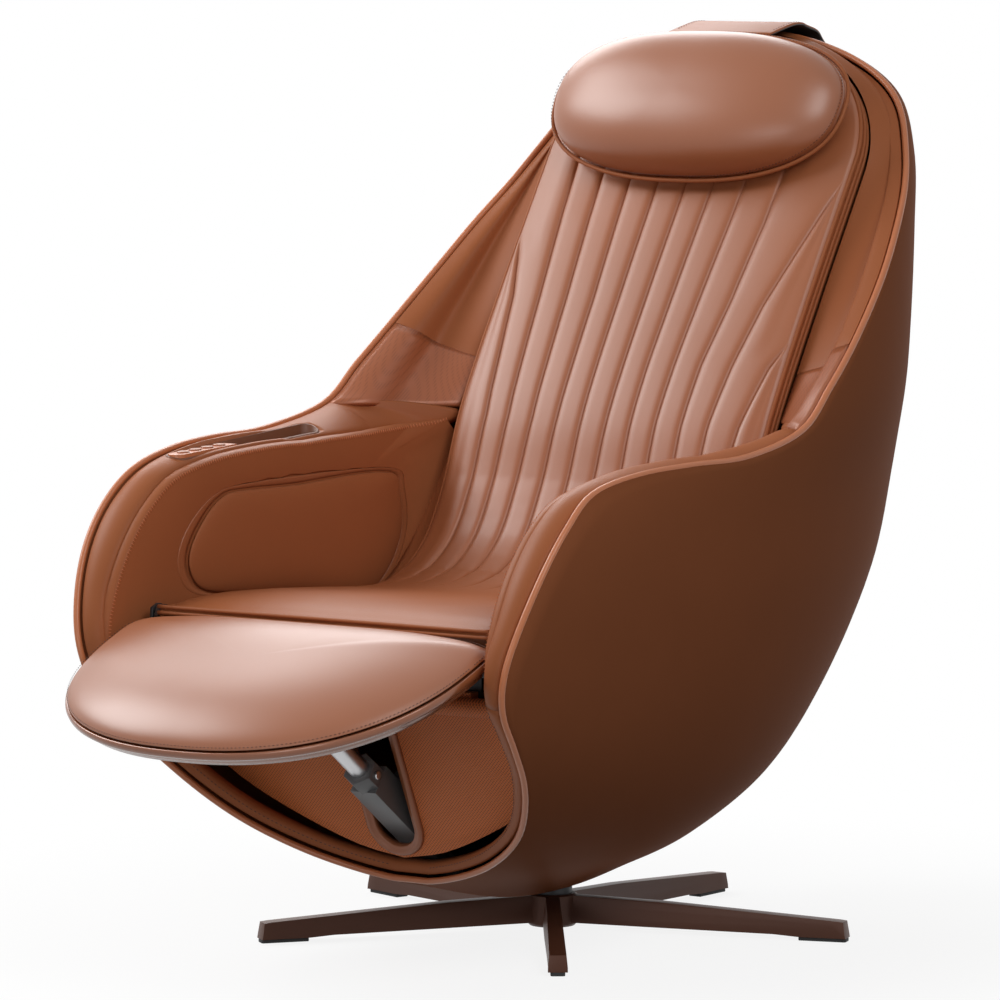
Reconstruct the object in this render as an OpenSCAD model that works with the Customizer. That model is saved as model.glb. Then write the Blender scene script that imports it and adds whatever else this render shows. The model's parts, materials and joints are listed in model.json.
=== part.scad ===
// Egg-shaped massage chair: an upholstered shell that turns on a five-legged base, with a powered leg rest.
// The chair faces -Y. The origin is on the floor, on the axis that the chair turns about.

/* [Base] */
// How far the base reaches past the shell's widest point
base_reach = 8; // [0:1:40]
// Number of legs
leg_count = 5; // [4:1:6]
// Width of a leg along its underside
leg_w = 25; // [20:1:32]
// Height of a leg's top edge at its tip
leg_tip_h = 24; // [18:1:30]
// Height of the hub's top face
hub_top = 43; // [41:0.5:44]
// Radius of the hub
hub_r = 30; // [29:1:34]
// Length of the glide under each leg's tip
glide_len = 58; // [40:1:80]
// Thickness of the glides
glide_t = 4.5; // [3:0.5:6]
// Radius of the spindle that the chair turns on
spindle_r = 13; // [10:1:15]
// Diameter of the balls in the swivel bearing
ball_d = 6; // [5:0.5:7]

/* [Shell] */
// Width of the shell across the arms
shell_w = 714; // [690:1:750]
// Depth of the shell from arm fronts to back
shell_d = 1100; // [1070:1:1140]
// Height of the shell from its underside to its top
shell_h = 1020; // [1000:1:1060]
// Height of the shell's underside above the floor
shell_z = 46; // [45:0.5:49]
// Thickness of the shell's wall
wall = 7; // [5:0.5:9]
// Width of the shadow groove inside the shell's lip
lip_groove = 3; // [2:0.5:5]

/* [Cushion] */
// Space between the cushion and each side wall
cushion_gap = 42; // [38:1:51]
// Extra width of the cushion at the seat's front on each side
seat_flare = 12; // [6:1:14]
// Height of the seat's front edge
seat_z = 419; // [414:1:424]
// Distance of the seat's front edge in front of the swivel axis
seat_front = 458; // [450:1:462]
// Thickness of the cushion
pad_t = 42; // [36:1:46]
// Distance between the sewn channels
channel_pitch = 42; // [38:1:48]
// Depth of the sewn channels
channel_depth = 7; // [4:0.5:10]
// Space between the headrest pillow and each edge of the cushion
pillow_inset = 12; // [9:1:44]
// Height of the headrest pillow
pillow_h = 200; // [190:1:215]
// Thickness of the headrest pillow
pillow_t = 92; // [80:1:110]
// Width of the band that holds the pillow
strap_w = 150; // [120:1:180]
// Thickness of that band
strap_t = 4; // [3:0.5:6]

/* [Arms] */
// Thickness of the upholstered arm and wing pads
liner_t = 14; // [10:1:18]
// Width of each arm, from the shell's widest point to the inner face of its side wall
arm_reach = 91; // [87:1:92]
// Thickness of each side wall
side_t = 12; // [9:0.5:13]
// How far each air cushion stands out of its side wall
airbag_t = 9; // [6:0.5:12]
// Length of the control recess in the arm
tray_len = 280; // [260:1:300]
// Width of the control recess
tray_w = 28; // [26:1:32]
// Depth of the control recess
tray_depth = 20; // [16:1:26]
// Diameter of the control buttons
button_d = 15; // [12:1:17]
// Travel of a control button
button_travel = 1.5; // [1:0.1:2]

/* [Leg rest] */
// Space between the leg rest and the line of each side wall
rest_gap = 4; // [3:1:16]
// Length of the leg rest from its hinge to its tip
rest_len = 312; // [290:1:318]
// Crown of the leg rest's cushion above its seam
rest_crown = 34; // [26:1:40]
// Depth of the tray under the leg rest
rest_tray = 22; // [16:1:24]
// Slope of the leg rest below level
rest_slope = 22; // [18:1:26]
// Height of the leg rest's hinge
hinge_z = 405; // [402:1:407]
// Distance of that hinge in front of the swivel axis
hinge_y = 446; // [442:1:450]
// Diameter of the hinge's pins
hinge_d = 8; // [6:0.5:10]

/* [Actuator] */
// Diameter of the actuator's tube
tube_d = 24; // [20:1:26]
// Side of the actuator's square housing
housing_w = 36; // [32:1:37]
// Distance between the actuator's two pivots with the leg rest raised
actuator_len = 400; // [396:1:404]
// Slope of the actuator below level with the leg rest raised
actuator_slope = 36.5; // [36:0.1:37]
// Distance from the front pivot back to the housing's collar
collar_at = 172; // [168:1:178]

/* [Front panel] */
// Thickness of the mesh panel under the seat
panel_t = 6; // [4:0.5:8]
// Inner width of the actuator's slot
slot_w = 54; // [52:1:60]
// Width of the raised rim round that slot
slot_rim = 13; // [9:1:18]
// Diameter of the rounded ridge along the panel's top
ridge_d = 22; // [16:1:24]

/* [Massage unit] */
// Diameter of the massage rollers
roller_d = 44; // [38:1:48]
// Distance from the middle to each pair of rollers
roller_x = 62; // [54:1:70]
// Distance between the two rollers of an arm
roller_pitch = 110; // [96:1:120]
// Travel of the massage unit up the back
carriage_travel = 250; // [220:1:260]
// Distance from the middle to each rail
rail_x = 150; // [142:1:160]

/* [Hidden] */

side_x = shell_w / 2 - arm_reach;         // inner face of each side wall
pad_w = 2 * (side_x - cushion_gap);
rest_w = 2 * (side_x - rest_gap);
pillow_w = pad_w - 2 * pillow_inset;
base_r = shell_w / 2 + base_reach;    // out to the tips of the legs
$fn = 48;
fit = 0.05;         // running clearance on a radius
seat_gap = 0.3;     // gap left where one piece rests on another
shift_gap = 1.5;    // gap left where one piece passes another
leather = "peru";
dark_leather = "saddlebrown";
steel = "dimgray";
side = [1, -1];     // the sitter's left is +X

// ---------- curves ----------
function unit(v) = v / max(norm(v), 1e-9);
function mix(a, b, t) = a + (b - a) * t;
function spline(a, b, c, d, t) =
    0.5 * (2 * b + (c - a) * t + (2 * a - 5 * b + 4 * c - d) * t * t + (3 * b - a - 3 * c + d) * t * t * t);
// A smooth curve through p, with n steps between neighbours; before and after steer its two ends
function smooth(p, n, before, after) =
    let (q = concat([before], p, [after]))
    concat([for (i = [1 : len(p) - 1], k = [0 : n - 1]) spline(q[i - 1], q[i], q[i + 1], q[i + 2], k / n)],
           [p[len(p) - 1]]);
function smooth_open(p, n) = smooth(p, n, 2 * p[0] - p[1], 2 * p[len(p) - 1] - p[len(p) - 2]);
// Distance along p of each of its points
function run(p) = 
    [for (i = 0, s = 0; i < len(p); s = i + 1 < len(p) ? s + norm(p[i + 1] - p[i]) : s, i = i + 1) s];
// A lookup table of coordinate k against distance along p
function table(p, k) = let (s = run(p)) [for (i = [0 : len(p) - 1]) [s[i], p[i][k]]];
function turn(p, a) = [p[0] * cos(a) - p[1] * sin(a), p[0] * sin(a) + p[1] * cos(a)];
function superellipse(a, b, n, count) =
    [for (i = [0 : count - 1]) let (t = 360 * i / count)
        [a * sign(cos(t)) * pow(abs(cos(t)), 2 / n), b * sign(sin(t)) * pow(abs(sin(t)), 2 / n)]];

// ---------- the egg ----------
// Level sections of the egg: height, half width, centre and half depth,
// as shares of shell_h, shell_w / 2 and shell_d
EGG_SECTIONS = [
    [0, 0, -0.03, 0], [0.006, 0.08, -0.03, 0.08], [0.028, 0.23, -0.046, 0.16], [0.073, 0.53, -0.1, 0.28],
    [0.14, 0.74, -0.145, 0.445], [0.24, 0.89, -0.19, 0.587], [0.364, 0.97, -0.19, 0.672],
    [0.475, 0.99, -0.158, 0.675], [0.573, 0.985, -0.016, 0.526], [0.66, 0.96, 0.07, 0.432],
    [0.77, 0.9, 0.163, 0.332], [0.857, 0.79, 0.268, 0.224], [0.93, 0.635, 0.345, 0.128],
    [0.979, 0.37, 0.375, 0.058], [1, 0, 0.398, 0]
];
// The open edge seen from the side, from the top down to the lower front, as shares of shell_d and shell_h
RIM_LINE = [
    [0.398, 1], [0.396, 0.994], [0.391, 0.979], [0.384, 0.96], [0.37, 0.93], [0.349, 0.891], [0.303, 0.823],
    [0.25, 0.767], [0.194, 0.711], [0.124, 0.648], [0.068, 0.602], [0.008, 0.556], [-0.1, 0.534],
    [-0.197, 0.532], [-0.28, 0.527], [-0.352, 0.511], [-0.398, 0.478], [-0.436, 0.432], [-0.464, 0.376],
    [-0.477, 0.323], [-0.468, 0.278], [-0.435, 0.234], [-0.395, 0.19], [-0.35, 0.137], [-0.315, 0.096],
    [-0.286, 0.066], [-0.269, 0.05]
];
RIM_FOOT = 0.041;       // height share of the rim's lowest point
ROWS_PER_POINT = 2;
MESH_TOP = 9 * ROWS_PER_POINT;      // rim rows where the mesh insert starts and ends
MESH_FOOT = 11 * ROWS_PER_POINT;
ARM_FOOT = 20 * ROWS_PER_POINT;     // rim row where the arm pad ends and the front liner starts
shell_top = shell_z + shell_h;

egg_points = [for (s = EGG_SECTIONS)
    [shell_z + s[0] * shell_h, s[1] * shell_w / 2, s[2] * shell_d, s[3] * shell_d]];
function tip_mirror(p) = [p[0], -p[1], p[2], -p[3]];
egg_rows = smooth(egg_points, 6, tip_mirror(egg_points[1]), tip_mirror(egg_points[len(egg_points) - 2]));
egg_width = [for (s = egg_rows) [s[0], s[1]]];
egg_centre = [for (s = egg_rows) [s[0], s[2]]];
egg_depth = [for (s = egg_rows) [s[0], s[3]]];
function egg_square(y, z) =
    let (a = lookup(z, egg_width), u = (y - lookup(z, egg_centre)) / max(lookup(z, egg_depth), 1))
        a * a * (1 - u * u);
function egg_x(y, z) = sqrt(max(0, egg_square(y, z)));
function egg_normal(p) =
    let (a = lookup(p[2], egg_width), l = max(lookup(p[2], egg_depth), 1), step = 2)
    unit([p[0], a * a * (p[1] - lookup(p[2], egg_centre)) / (l * l),
          -(egg_square(p[1], p[2] + step) - egg_square(p[1], p[2] - step)) / (4 * step)]);
function sunk(p, d) = p - d * egg_normal(p);

rim_foot_z = shell_z + RIM_FOOT * shell_h;
rim_foot = [lookup(rim_foot_z, egg_centre) - lookup(rim_foot_z, egg_depth), rim_foot_z];
rim_side = smooth_open(concat([for (p = RIM_LINE) [p[0] * shell_d, shell_z + p[1] * shell_h]], [rim_foot]),
                       ROWS_PER_POINT);
back_side = concat(
    [for (i = [len(egg_rows) - 1 : -1 : 0]) [egg_rows[i][2] + egg_rows[i][3], egg_rows[i][0]]],
    [for (s = egg_rows) if (s[0] > shell_z && s[0] < rim_foot_z) [s[2] - s[3], s[0]]], [rim_foot]);
rim_run = run(rim_side);
rim_total = rim_run[len(rim_run) - 1];
back_y = table(back_side, 0);
back_z = table(back_side, 1);
back_total = back_y[len(back_y) - 1][0];
rows = len(rim_side) - 2;           // rows 1 to rows run across the shell
function rim_at(i) = [egg_x(rim_side[i][0], rim_side[i][1]), rim_side[i][0], rim_side[i][1]];
function back_at(i) = let (s = rim_run[i] / rim_total * back_total) [lookup(s, back_y), lookup(s, back_z)];
HALF_COLS = 9;
function egg_row(i) = [for (j = [-HALF_COLS : HALF_COLS])
    let (p = mix(rim_side[i], back_at(i), sin(90 * (1 - abs(j) / HALF_COLS))))
    [-sign(j) * egg_x(p[0], p[1]), p[0], p[1]]];

// Faces of a closed slab between two grids of r by c points, listed one after the other
function slab_faces(r, c) =
    let (n = r * c, edge = concat([for (j = [0 : c - 2]) j], [for (i = [0 : r - 2]) i * c + c - 1],
                                  [for (j = [c - 1 : -1 : 1]) (r - 1) * c + j],
                                      [for (i = [r - 1 : -1 : 1]) i * c]))
    concat([for (i = [0 : r - 2], j = [0 : c - 2]) each
                let (a = i * c + j) [[a, a + 1, a + c + 1], [a, a + c + 1, a + c],
                                     [n + a, n + a + c + 1, n + a + 1], [n + a, n + a + c, n + a + c + 1]]],
           [for (k = [0 : len(edge) - 1]) each
                let (a = edge[k], b = edge[(k + 1) % len(edge)]) [[b, a, a + n], [b, a + n, b + n]]]);
module slab(front, back) {
    polyhedron([for (r = front) each r, for (r = back) each r], slab_faces(len(front), len(front[0])));
}
// A closed solid through a list of rings with the same number of points
module ring_loft(rings) {
    c = len(rings[0]);
    last = (len(rings) - 1) * c;
    polyhedron([for (r = rings) each r], concat(
        [for (i = [0 : len(rings) - 2], j = [0 : c - 1]) each
            let (a = i * c + j, b = i * c + (j + 1) % c) [[a, b + c, b], [a, a + c, b + c]]],
        [for (j = [1 : c - 2]) [0, j, j + 1]], [for (j = [1 : c - 2]) [last, last + j + 1, last + j]]));
}
// A crowned cushion over an outline, with its rim at z = 0
module cushion(outline, up, down, rings) {
    c = len(outline);
    function ring(a, h) = [for (p = outline) [p[0] * cos(a), p[1] * cos(a), h * sin(a)]];
    levels = [for (k = [rings - 1 : -1 : 1]) ring(90 * k / rings, -down), for (k = [0 : rings - 1])
        ring(90 * k / rings, up)];
    n = len(levels) * c;
    polyhedron([for (l = levels) each l, [0, 0, -down], [0, 0, up]], concat(
        [for (i = [0 : len(levels) - 2], j = [0 : c - 1]) each
            let (a = i * c + j, b = i * c + (j + 1) % c) [[a, b + c, b], [a, a + c, b + c]]],
        [for (j = [0 : c - 1]) [n, j, (j + 1) % c]],
        [for (j = [0 : c - 1]) [n + 1, n - c + (j + 1) % c, n - c + j]]));
}
// A flat-backed crowned cushion
module half_cushion(outline, up, rings) {
    c = len(outline);
    levels = [for (k = [0 : rings - 1]) let (a = 90 * k / rings)
        [for (p = outline) [p[0] * cos(a), p[1] * cos(a), up * sin(a)]]];
    n = rings * c;
    polyhedron([for (l = levels) each l, [0, 0, 0], [0, 0, up]], concat(
        [for (i = [0 : rings - 2], j = [0 : c - 1]) each
            let (a = i * c + j, b = i * c + (j + 1) % c) [[a, b + c, b], [a, a + c, b + c]]],
        [for (j = [0 : c - 1]) [n, j, (j + 1) % c]],
        [for (j = [0 : c - 1]) [n + 1, n - c + (j + 1) % c, n - c + j]]));
}
module at_side(s) { if (s > 0) children(); else mirror([1, 0, 0]) children(); }
// Stands a drawing of the chair's side, given in Y and Z, across the chair from x0 to x1
module across(x0, x1) {
    translate([x0, 0, 0]) rotate([90, 0, 90]) linear_extrude(x1 - x0) children();
}
module along_x(x0, x1, r) { translate([x0, 0, 0]) rotate([0, 90, 0]) cylinder(h = x1 - x0, r = r); }

// ---------- base ----------
hub_z = 4;                          // underside of the hub
recess_r = hub_r - 5;
race_t = 3;
recess_z = hub_top - 1 - 2 * race_t - ball_d - 2 * fit;
flange_t = 9;
leg_tip_w = leg_w - 4;
module leg() {
    intersection() {
        rotate([90, 0, 0]) translate([0, 0, -leg_w]) linear_extrude(2 * leg_w) polygon([
            [0, hub_z + 5], [base_r - glide_len - 30, glide_t + 2], [base_r - glide_len, glide_t],
            [base_r, glide_t], [base_r - 3, leg_tip_h], [base_r - 12, leg_tip_h + 1],
                [base_r * 0.37, hub_top - 5],
            [0, hub_top - 1]]);
        linear_extrude(hub_top) polygon([
            [0, -leg_w / 2], [base_r - 16, -leg_tip_w / 2], [base_r, -leg_tip_w / 2 - 1],
            [base_r, leg_tip_w / 2 + 1], [base_r - 16, leg_tip_w / 2], [0, leg_w / 2]]);
        rotate([90, 0, 90]) linear_extrude(base_r) polygon([
            [-leg_w / 2, 0], [leg_w / 2, 0],
            [leg_w * 0.32, hub_top], [-leg_w * 0.32, hub_top]]);
    }
}
module each_leg() { for (i = [0 : leg_count - 1]) rotate([0, 0, 90 + 360 * i / leg_count]) children(); }
module star_base() {
    color("sienna") difference() {
        union() {
            each_leg() leg();
            rotate_extrude() polygon([[0, hub_z], [hub_r - 3, hub_z], [hub_r, hub_z + 3],
                [hub_r, hub_top - 2],
                                      [hub_r - 2, hub_top], [0, hub_top]]);
        }
        translate([0, 0, recess_z]) cylinder(h = hub_top, r = recess_r);
        translate([0, 0, -1]) cylinder(h = hub_top, r = spindle_r + fit);
        translate([0, 0, -1]) cylinder(h = hub_z + 9, r = spindle_r + 7);
    }
}
module foot_glides() {
    color("dimgray") each_leg() linear_extrude(glide_t) polygon([
        [base_r - glide_len, -leg_tip_w / 2 + 2], [base_r - 2, -leg_tip_w / 2 + 2],
            [base_r, -leg_tip_w / 2 + 4],
        [base_r, leg_tip_w / 2 - 4], [base_r - 2, leg_tip_w / 2 - 2],
            [base_r - glide_len, leg_tip_w / 2 - 2]]);
}
module race(z) {
    translate([0, 0, z]) difference() {
        cylinder(h = race_t, r = recess_r - 0.1);
        translate([0, 0, -1]) cylinder(h = race_t + 2, r = spindle_r + 0.6);
    }
}
module lower_bearing_race() { color("silver") race(recess_z); }
ball_z = recess_z + race_t + fit + ball_d / 2;
module bearing_balls() {
    path_r = (recess_r + spindle_r) / 2;
    color("silver") for (i = [0 : 11]) rotate([0, 0, 30 * i]) translate([path_r, 0, ball_z])
        sphere(d = ball_d);
}
upper_race_z = ball_z + ball_d / 2 + fit;
flange_z = upper_race_z + race_t;
module upper_bearing_race() { color("silver") race(upper_race_z); }

// ---------- swivel ----------
plate_z = 110;
plate_t = 6;
plate_size = [190, 230];
plate_y = -20;
bolt_at = [75, 95];
nut_t = 7;
module swivel_spindle() {
    color(steel) {
        translate([0, 0, hub_z + 1]) cylinder(h = flange_z - hub_z, r = spindle_r);
        translate([0, 0, flange_z]) cylinder(h = flange_t, r = recess_r - 1);
        translate([0, 0, flange_z + flange_t]) cylinder(h = plate_z - flange_z - flange_t, r = 20);
    }
}
module spindle_nut() {
    color("silver") translate([0, 0, hub_z + 1]) difference() {
        cylinder(h = nut_t, r = spindle_r + 5);
        translate([0, 0, -1]) cylinder(h = nut_t + 2, r = spindle_r);
    }
}
module at_bolts() {
    for (x = side, y = side) translate([x * bolt_at[0], plate_y + y * bolt_at[1], 0]) children();
}
module swivel_plate() {
    color(steel) difference() {
        translate([-plate_size[0] / 2, plate_y - plate_size[1] / 2, plate_z])
            cube([plate_size[0], plate_size[1], plate_t]);
        at_bolts() translate([0, 0, plate_z - 1]) cylinder(h = plate_t + 2, r = 4.2);
    }
}
module plate_bolts() {
    color("silver") at_bolts() {
        translate([0, 0, plate_z - 5]) cylinder(h = 5, r = 7);
        translate([0, 0, plate_z - 1]) cylinder(h = plate_t + 9, r = 4);
    }
}
frame_foot_t = 5;
frame_top = 352 - seat_gap;
rail_h = 28;
frame_x = 150;
frame_front = -372;
shell_bar_y = [-60, 120];
module under_frame() {
    rail_y = [frame_front, 150];
    post_x = bolt_at[0];
    color(steel) difference() {
        union() {
            for (x = side) {
                translate([x * post_x - 16, plate_y - plate_size[1] / 2, plate_z + plate_t])
                    cube([32, plate_size[1], frame_foot_t]);
                for (y = side) translate([x * post_x - 12, plate_y + y * 70 - 12, plate_z + plate_t])
                    cube([24, 24, frame_top - rail_h - plate_z - plate_t]);
                translate([x * frame_x - 12, rail_y[0], frame_top - rail_h])
                    cube([24, rail_y[1] - rail_y[0], rail_h]);
            }
            for (y = [plate_y - 70, plate_y + 70]) translate([-frame_x, y - 12, frame_top - rail_h])
                cube([2 * frame_x, 24, rail_h]);
            for (y = shell_bar_y, s = side) at_side(s) {
                reach = min([for (v = [y - 12, y + 12], z = [frame_top - rail_h, frame_top])
                    let (p = [egg_x(v, z), v, z]) p[0] - wall / egg_normal(p)[0]]);
                translate([frame_x, y - 12, frame_top - rail_h]) cube([reach - frame_x - 1.8, 24, rail_h]);
            }
        }
        at_bolts() translate([0, 0, plate_z + plate_t - 1]) cylinder(h = frame_foot_t + 2, r = 4.2);
    }
}

// ---------- shell and its rear cover ----------
shell_rows = [for (i = [1 : rows]) egg_row(i)];
cover_z = 250;
cover_size = [200, 130];
cover_y = lookup(cover_z, egg_centre) + lookup(cover_z, egg_depth);
cover_tilt = -atan(egg_normal([0, cover_y, cover_z])[2] / egg_normal([0, cover_y, cover_z])[1]);
module at_cover() { translate([0, cover_y, cover_z]) rotate([-cover_tilt, 0, 0]) children(); }
module outer_shell() {
    color(dark_leather) difference() {
        slab(shell_rows, [for (r = shell_rows) [for (p = r) sunk(p, wall)]]);
        cylinder(h = plate_z, r = recess_r + 3);
        at_cover() translate([-cover_size[0] / 2, -60, -cover_size[1] / 2])
            cube([cover_size[0], 120, cover_size[1]]);
    }
}
cover_t = 4;
cover_sink = 32;
screw_at = [cover_size[0] / 2 - 14, cover_size[1] / 2 - 14];
inlet_size = [48, 28];
switch_size = [26, 20];
inlet_x = -35;
switch_x = 30;
function cover_point(x, y, z) = [x, cover_y + y * cos(cover_tilt) + z * sin(cover_tilt),
                                 cover_z - y * sin(cover_tilt) + z * cos(cover_tilt)];
// How far the shell's surface lies out from the middle of the cover's opening, found by halving
function cover_edge(x, z, low = -60, high = 5, n = 12) =
    let (m = (low + high) / 2, p = cover_point(x, m, z), inside = abs(p[0]) < egg_x(p[1], p[2]))
    n == 0 ? low - 1 : cover_edge(x, z, inside ? m : low, inside ? high : m, n - 1);
module rear_cover() {
    w = cover_size[0] / 2 - seat_gap;
    h = cover_size[1] / 2 - seat_gap;
    color("dimgray") at_cover() difference() {
        union() {
            translate([-w, -cover_sink, -h]) cube([2 * w, cover_t, 2 * h]);
            for (z = [-h, h - 2]) translate([0, 0, z]) linear_extrude(2) polygon(concat(
                [[w, -cover_sink], [-w, -cover_sink]],
                [for (i = [-6 : 6]) [i / 6 * w, cover_edge(i / 6 * w, z > 0 ? h : -h)]]));
            for (x = [-w, w - 2]) across(x, x + 2) polygon(concat(
                [[-cover_sink, h], [-cover_sink, -h]],
                [for (i = [-4 : 4]) [cover_edge(w, i / 4 * h), i / 4 * h]]));
        }
        for (x = side, z = side) translate([x * screw_at[0], 0, z * screw_at[1]]) rotate([90, 0, 0])
            cylinder(h = cover_sink + 10, r = 2.2);
        at_switch() along_x(-switch_size[0] / 2 - 3, switch_size[0] / 2 + 3, rocker_pin + fit);
        translate([inlet_x - inlet_size[0] / 2, -cover_sink - 1, -inlet_size[1] / 2])
            cube([inlet_size[0], cover_t + 2, inlet_size[1]]);
        translate([switch_x - switch_size[0] / 2, -cover_sink - 1, -switch_size[1] / 2])
            cube([switch_size[0], cover_t + 2, switch_size[1]]);
    }
}
module rear_cover_screws() {
    color("silver") at_cover() for (x = side, z = side)
        translate([x * screw_at[0], -cover_sink + cover_t, z * screw_at[1]])
        rotate([90, 0, 0]) {
            translate([0, 0, -2.5]) cylinder(h = 2.5, r = 4);
            cylinder(h = 14, r = 2);
        }
}
module power_inlet() {
    w = inlet_size[0] - 2 * seat_gap;
    h = inlet_size[1] - 2 * seat_gap;
    color("black") at_cover() translate([inlet_x, -cover_sink, 0]) difference() {
        translate([-w / 2, -22, -h / 2]) cube([w, 22 + cover_t + 2, h]);
        translate([-15, -8, -10]) cube([30, 40, 20]);
    }
}
rocker_pin = 1.2;                   // radius of the pins that the switch rocks on
module at_switch() { translate([switch_x, cover_t / 2 - cover_sink, 0]) children(); }
module power_switch() {
    w = switch_size[0] - 2 * shift_gap;
    h = switch_size[1] - 2 * shift_gap;
    color("firebrick") at_cover() at_switch() {
        rotate([0, 90, 0]) translate([0, 0, -w / 2]) linear_extrude(w)
            polygon([[-h / 2, -4], [h / 2, -4], [h / 2, 4], [0, 2.5], [-h / 2, 4]]);
        along_x(-switch_size[0] / 2 - 2.6, switch_size[0] / 2 + 2.6, rocker_pin);
    }
}

// ---------- upholstery round the opening ----------
arm_z = rim_side[13 * ROWS_PER_POINT][1];
FRONT_CENTRE = [-430, 350];         // middle of the lower front opening, seen from the side
// Width of the arm's top pad against height, as it narrows down the front
arm_pad_width = [[rim_foot_z, 13], [150, 14], [240, 18], [350, 25], [410, 36], [540, 55], [570, 72],
    [arm_z, 80]];
function rim_tangent(i) = unit(rim_at(i + 1) - rim_at(i - 1));
function rim_inward(i) =
    let (p = rim_at(i), t = rim_tangent(i), low = p[2] < FRONT_CENTRE[1],
         c = low ? [0, FRONT_CENTRE[0], FRONT_CENTRE[1]] : [0, p[1], p[2]], v = c - p)
    unit(low ? v - (v * t) * t : v);
function rim_front(i) = cross(rim_inward(i), rim_tangent(i));
function pad_start(i) = sunk(rim_at(i), wall + lip_groove);
function arm_ring(i) =
    let (g = pad_start(i), v = rim_inward(i), f = unit(rim_front(i)),
         w = min(lookup(rim_at(i)[2], arm_pad_width), v[0] < -0.99 ? g[0] - side_x - side_t - 0.5 : 999),
         crown = min(7, w * 0.14))
    [g, g + v * w * 0.25 + f * crown * 0.75, g + v * w * 0.6 + f * crown, g + v * w - f * 2,
     g + v * w - f * liner_t, g + v * w * 0.5 - f * liner_t, sunk(rim_at(i), wall + 3.4) - f * liner_t];
// The shelf that carries the arm's top back to the cushion, under the mesh insert
shelf_z = [589.5, 603.5];
module left_arm_body() {
    ring_loft([for (i = [MESH_FOOT : ARM_FOOT]) arm_ring(i)]);
    translate([0, 0, shelf_z[0]]) linear_extrude(shelf_z[1] - shelf_z[0])
        polygon([[side_x + 2, 3], [side_x + 66, 3], [side_x + 66, 16], [side_x - 14, 105],
                 [side_x - 22, 114], [side_x + 2, wall_turn]]);
}
module left_arm_pad() { color(leather) left_arm_body(); }
tray_y = -358;                      // front end of the control recess
tray_inset = 4.5;                   // from the arm's seam to the control recess
tray_x = side_x + side_t + tray_w / 2 + tray_inset;
tray_wall = 2;
tray_top = arm_z + 1;
tray_tilt = 3.2;                    // slope of the control recess, up to its rear end
module on_arm() {
    c = [0, tray_y + tray_len / 2, tray_top];
    translate(c) rotate([tray_tilt, 0, 0]) translate(-c) children();
}
module tray_outline(grow) {
    r = tray_w / 2 + grow;
    translate([-tray_x, tray_y + tray_w / 2]) circle(r);
    translate([-tray_x, tray_y + tray_len - tray_w / 2]) circle(r);
    translate([-tray_x - r, tray_y + tray_w / 2]) square([2 * r, tray_len - tray_w]);
}
module right_arm_pad() {
    color(leather) difference() {
        mirror([1, 0, 0]) left_arm_body();
        on_arm() translate([0, 0, arm_z - 60]) linear_extrude(120) tray_outline(seat_gap);
    }
}
module front_liner() {
    left = [for (i = [ARM_FOOT : rows]) arm_ring(i)];
    c = len(left[0]);
    right = [for (i = [len(left) - 1 : -1 : 0]) [for (p = left[i]) [-p[0], p[1], p[2]]]];
    color(leather) ring_loft(concat(left, right));
}
mesh_gap = 0.25;
head_rows = [for (i = [2 : MESH_TOP]) i];
ARCH_ROW = 11;                      // rim row beside the foot of the cushion's rounded top
wing_gap = 6;                       // gap between a wing and the cushion
wing_sink = [8, 28];                // how far a wing's inner edge lies back, at the top and below
wing_dip = 18;                      // depth of a wing's hollow
function wing_inner(i) =
    let (a = i < ARCH_ROW ? 90 * (ARCH_ROW - i) / (ARCH_ROW - 1) : 0, s0 = pad_total - pad_arch,
         s = i < ARCH_ROW ? s0 + (pad_arch + wing_gap) * sin(a)
             : mix(s0, pad_at_z(684), (i - ARCH_ROW) / (MESH_TOP - ARCH_ROW)),
         back = mix(wing_sink[0], wing_sink[1], min(1, i / ARCH_ROW)),
         p = pad_point(s) + back_dir * max(0, s - pad_total) - pad_normal(s) * back)
    [(pad_w / 2 + wing_gap) * cos(a), p[0], p[1]];
function hollow(i, e, d) =
    let (g = pad_start(i), n = unit(egg_normal(rim_at(i)) + [0, 0.6, -0.2]))
    [for (k = [0 : 6]) mix(g, e, k / 6) + n * (d * pow(sin(30 * k), 2) * min(1, norm(e - g) / 90))];
function wing_ring(i) = hollow(i, wing_inner(i), wing_dip);
module head_surround() {
    left = [for (k = [len(head_rows) - 1 : -1 : 0]) wing_ring(head_rows[k])];
    right = [for (i = head_rows) [for (p = wing_ring(i)) [-p[0], p[1], p[2]]]];
    front = concat(left, right);
    color(leather) slab(front, [for (r = front) [for (k = [0 : 6])
        r[k] + [0, back_dir[1], -back_dir[0]] * liner_t * (k == 0 ? 0.4 : 1)]]);
}
mesh_corner = [pad_w / 2 + wing_gap, 144, 609];     // the insert's lower inner corner
function mesh_ring(i) =
    let (t = (i - MESH_TOP) / (MESH_FOOT - MESH_TOP))
    [for (p = hollow(i, mix(wing_inner(MESH_TOP), mesh_corner, t), mix(wing_dip, 8, t)))
        p - (i == MESH_TOP ? [0, 0.8, 0.8] * mesh_gap : [0, 0, 0])];
module left_mesh_body() {
    front = [for (i = [MESH_FOOT : -1 : MESH_TOP]) mesh_ring(i)];
    slab(front, [for (r = front) [for (p = r) p + [0, 4, -5]]]);
}
module left_mesh_insert() { color("chocolate") left_mesh_body(); }
module right_mesh_insert() { color("chocolate") mirror([1, 0, 0]) left_mesh_body(); }

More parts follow.
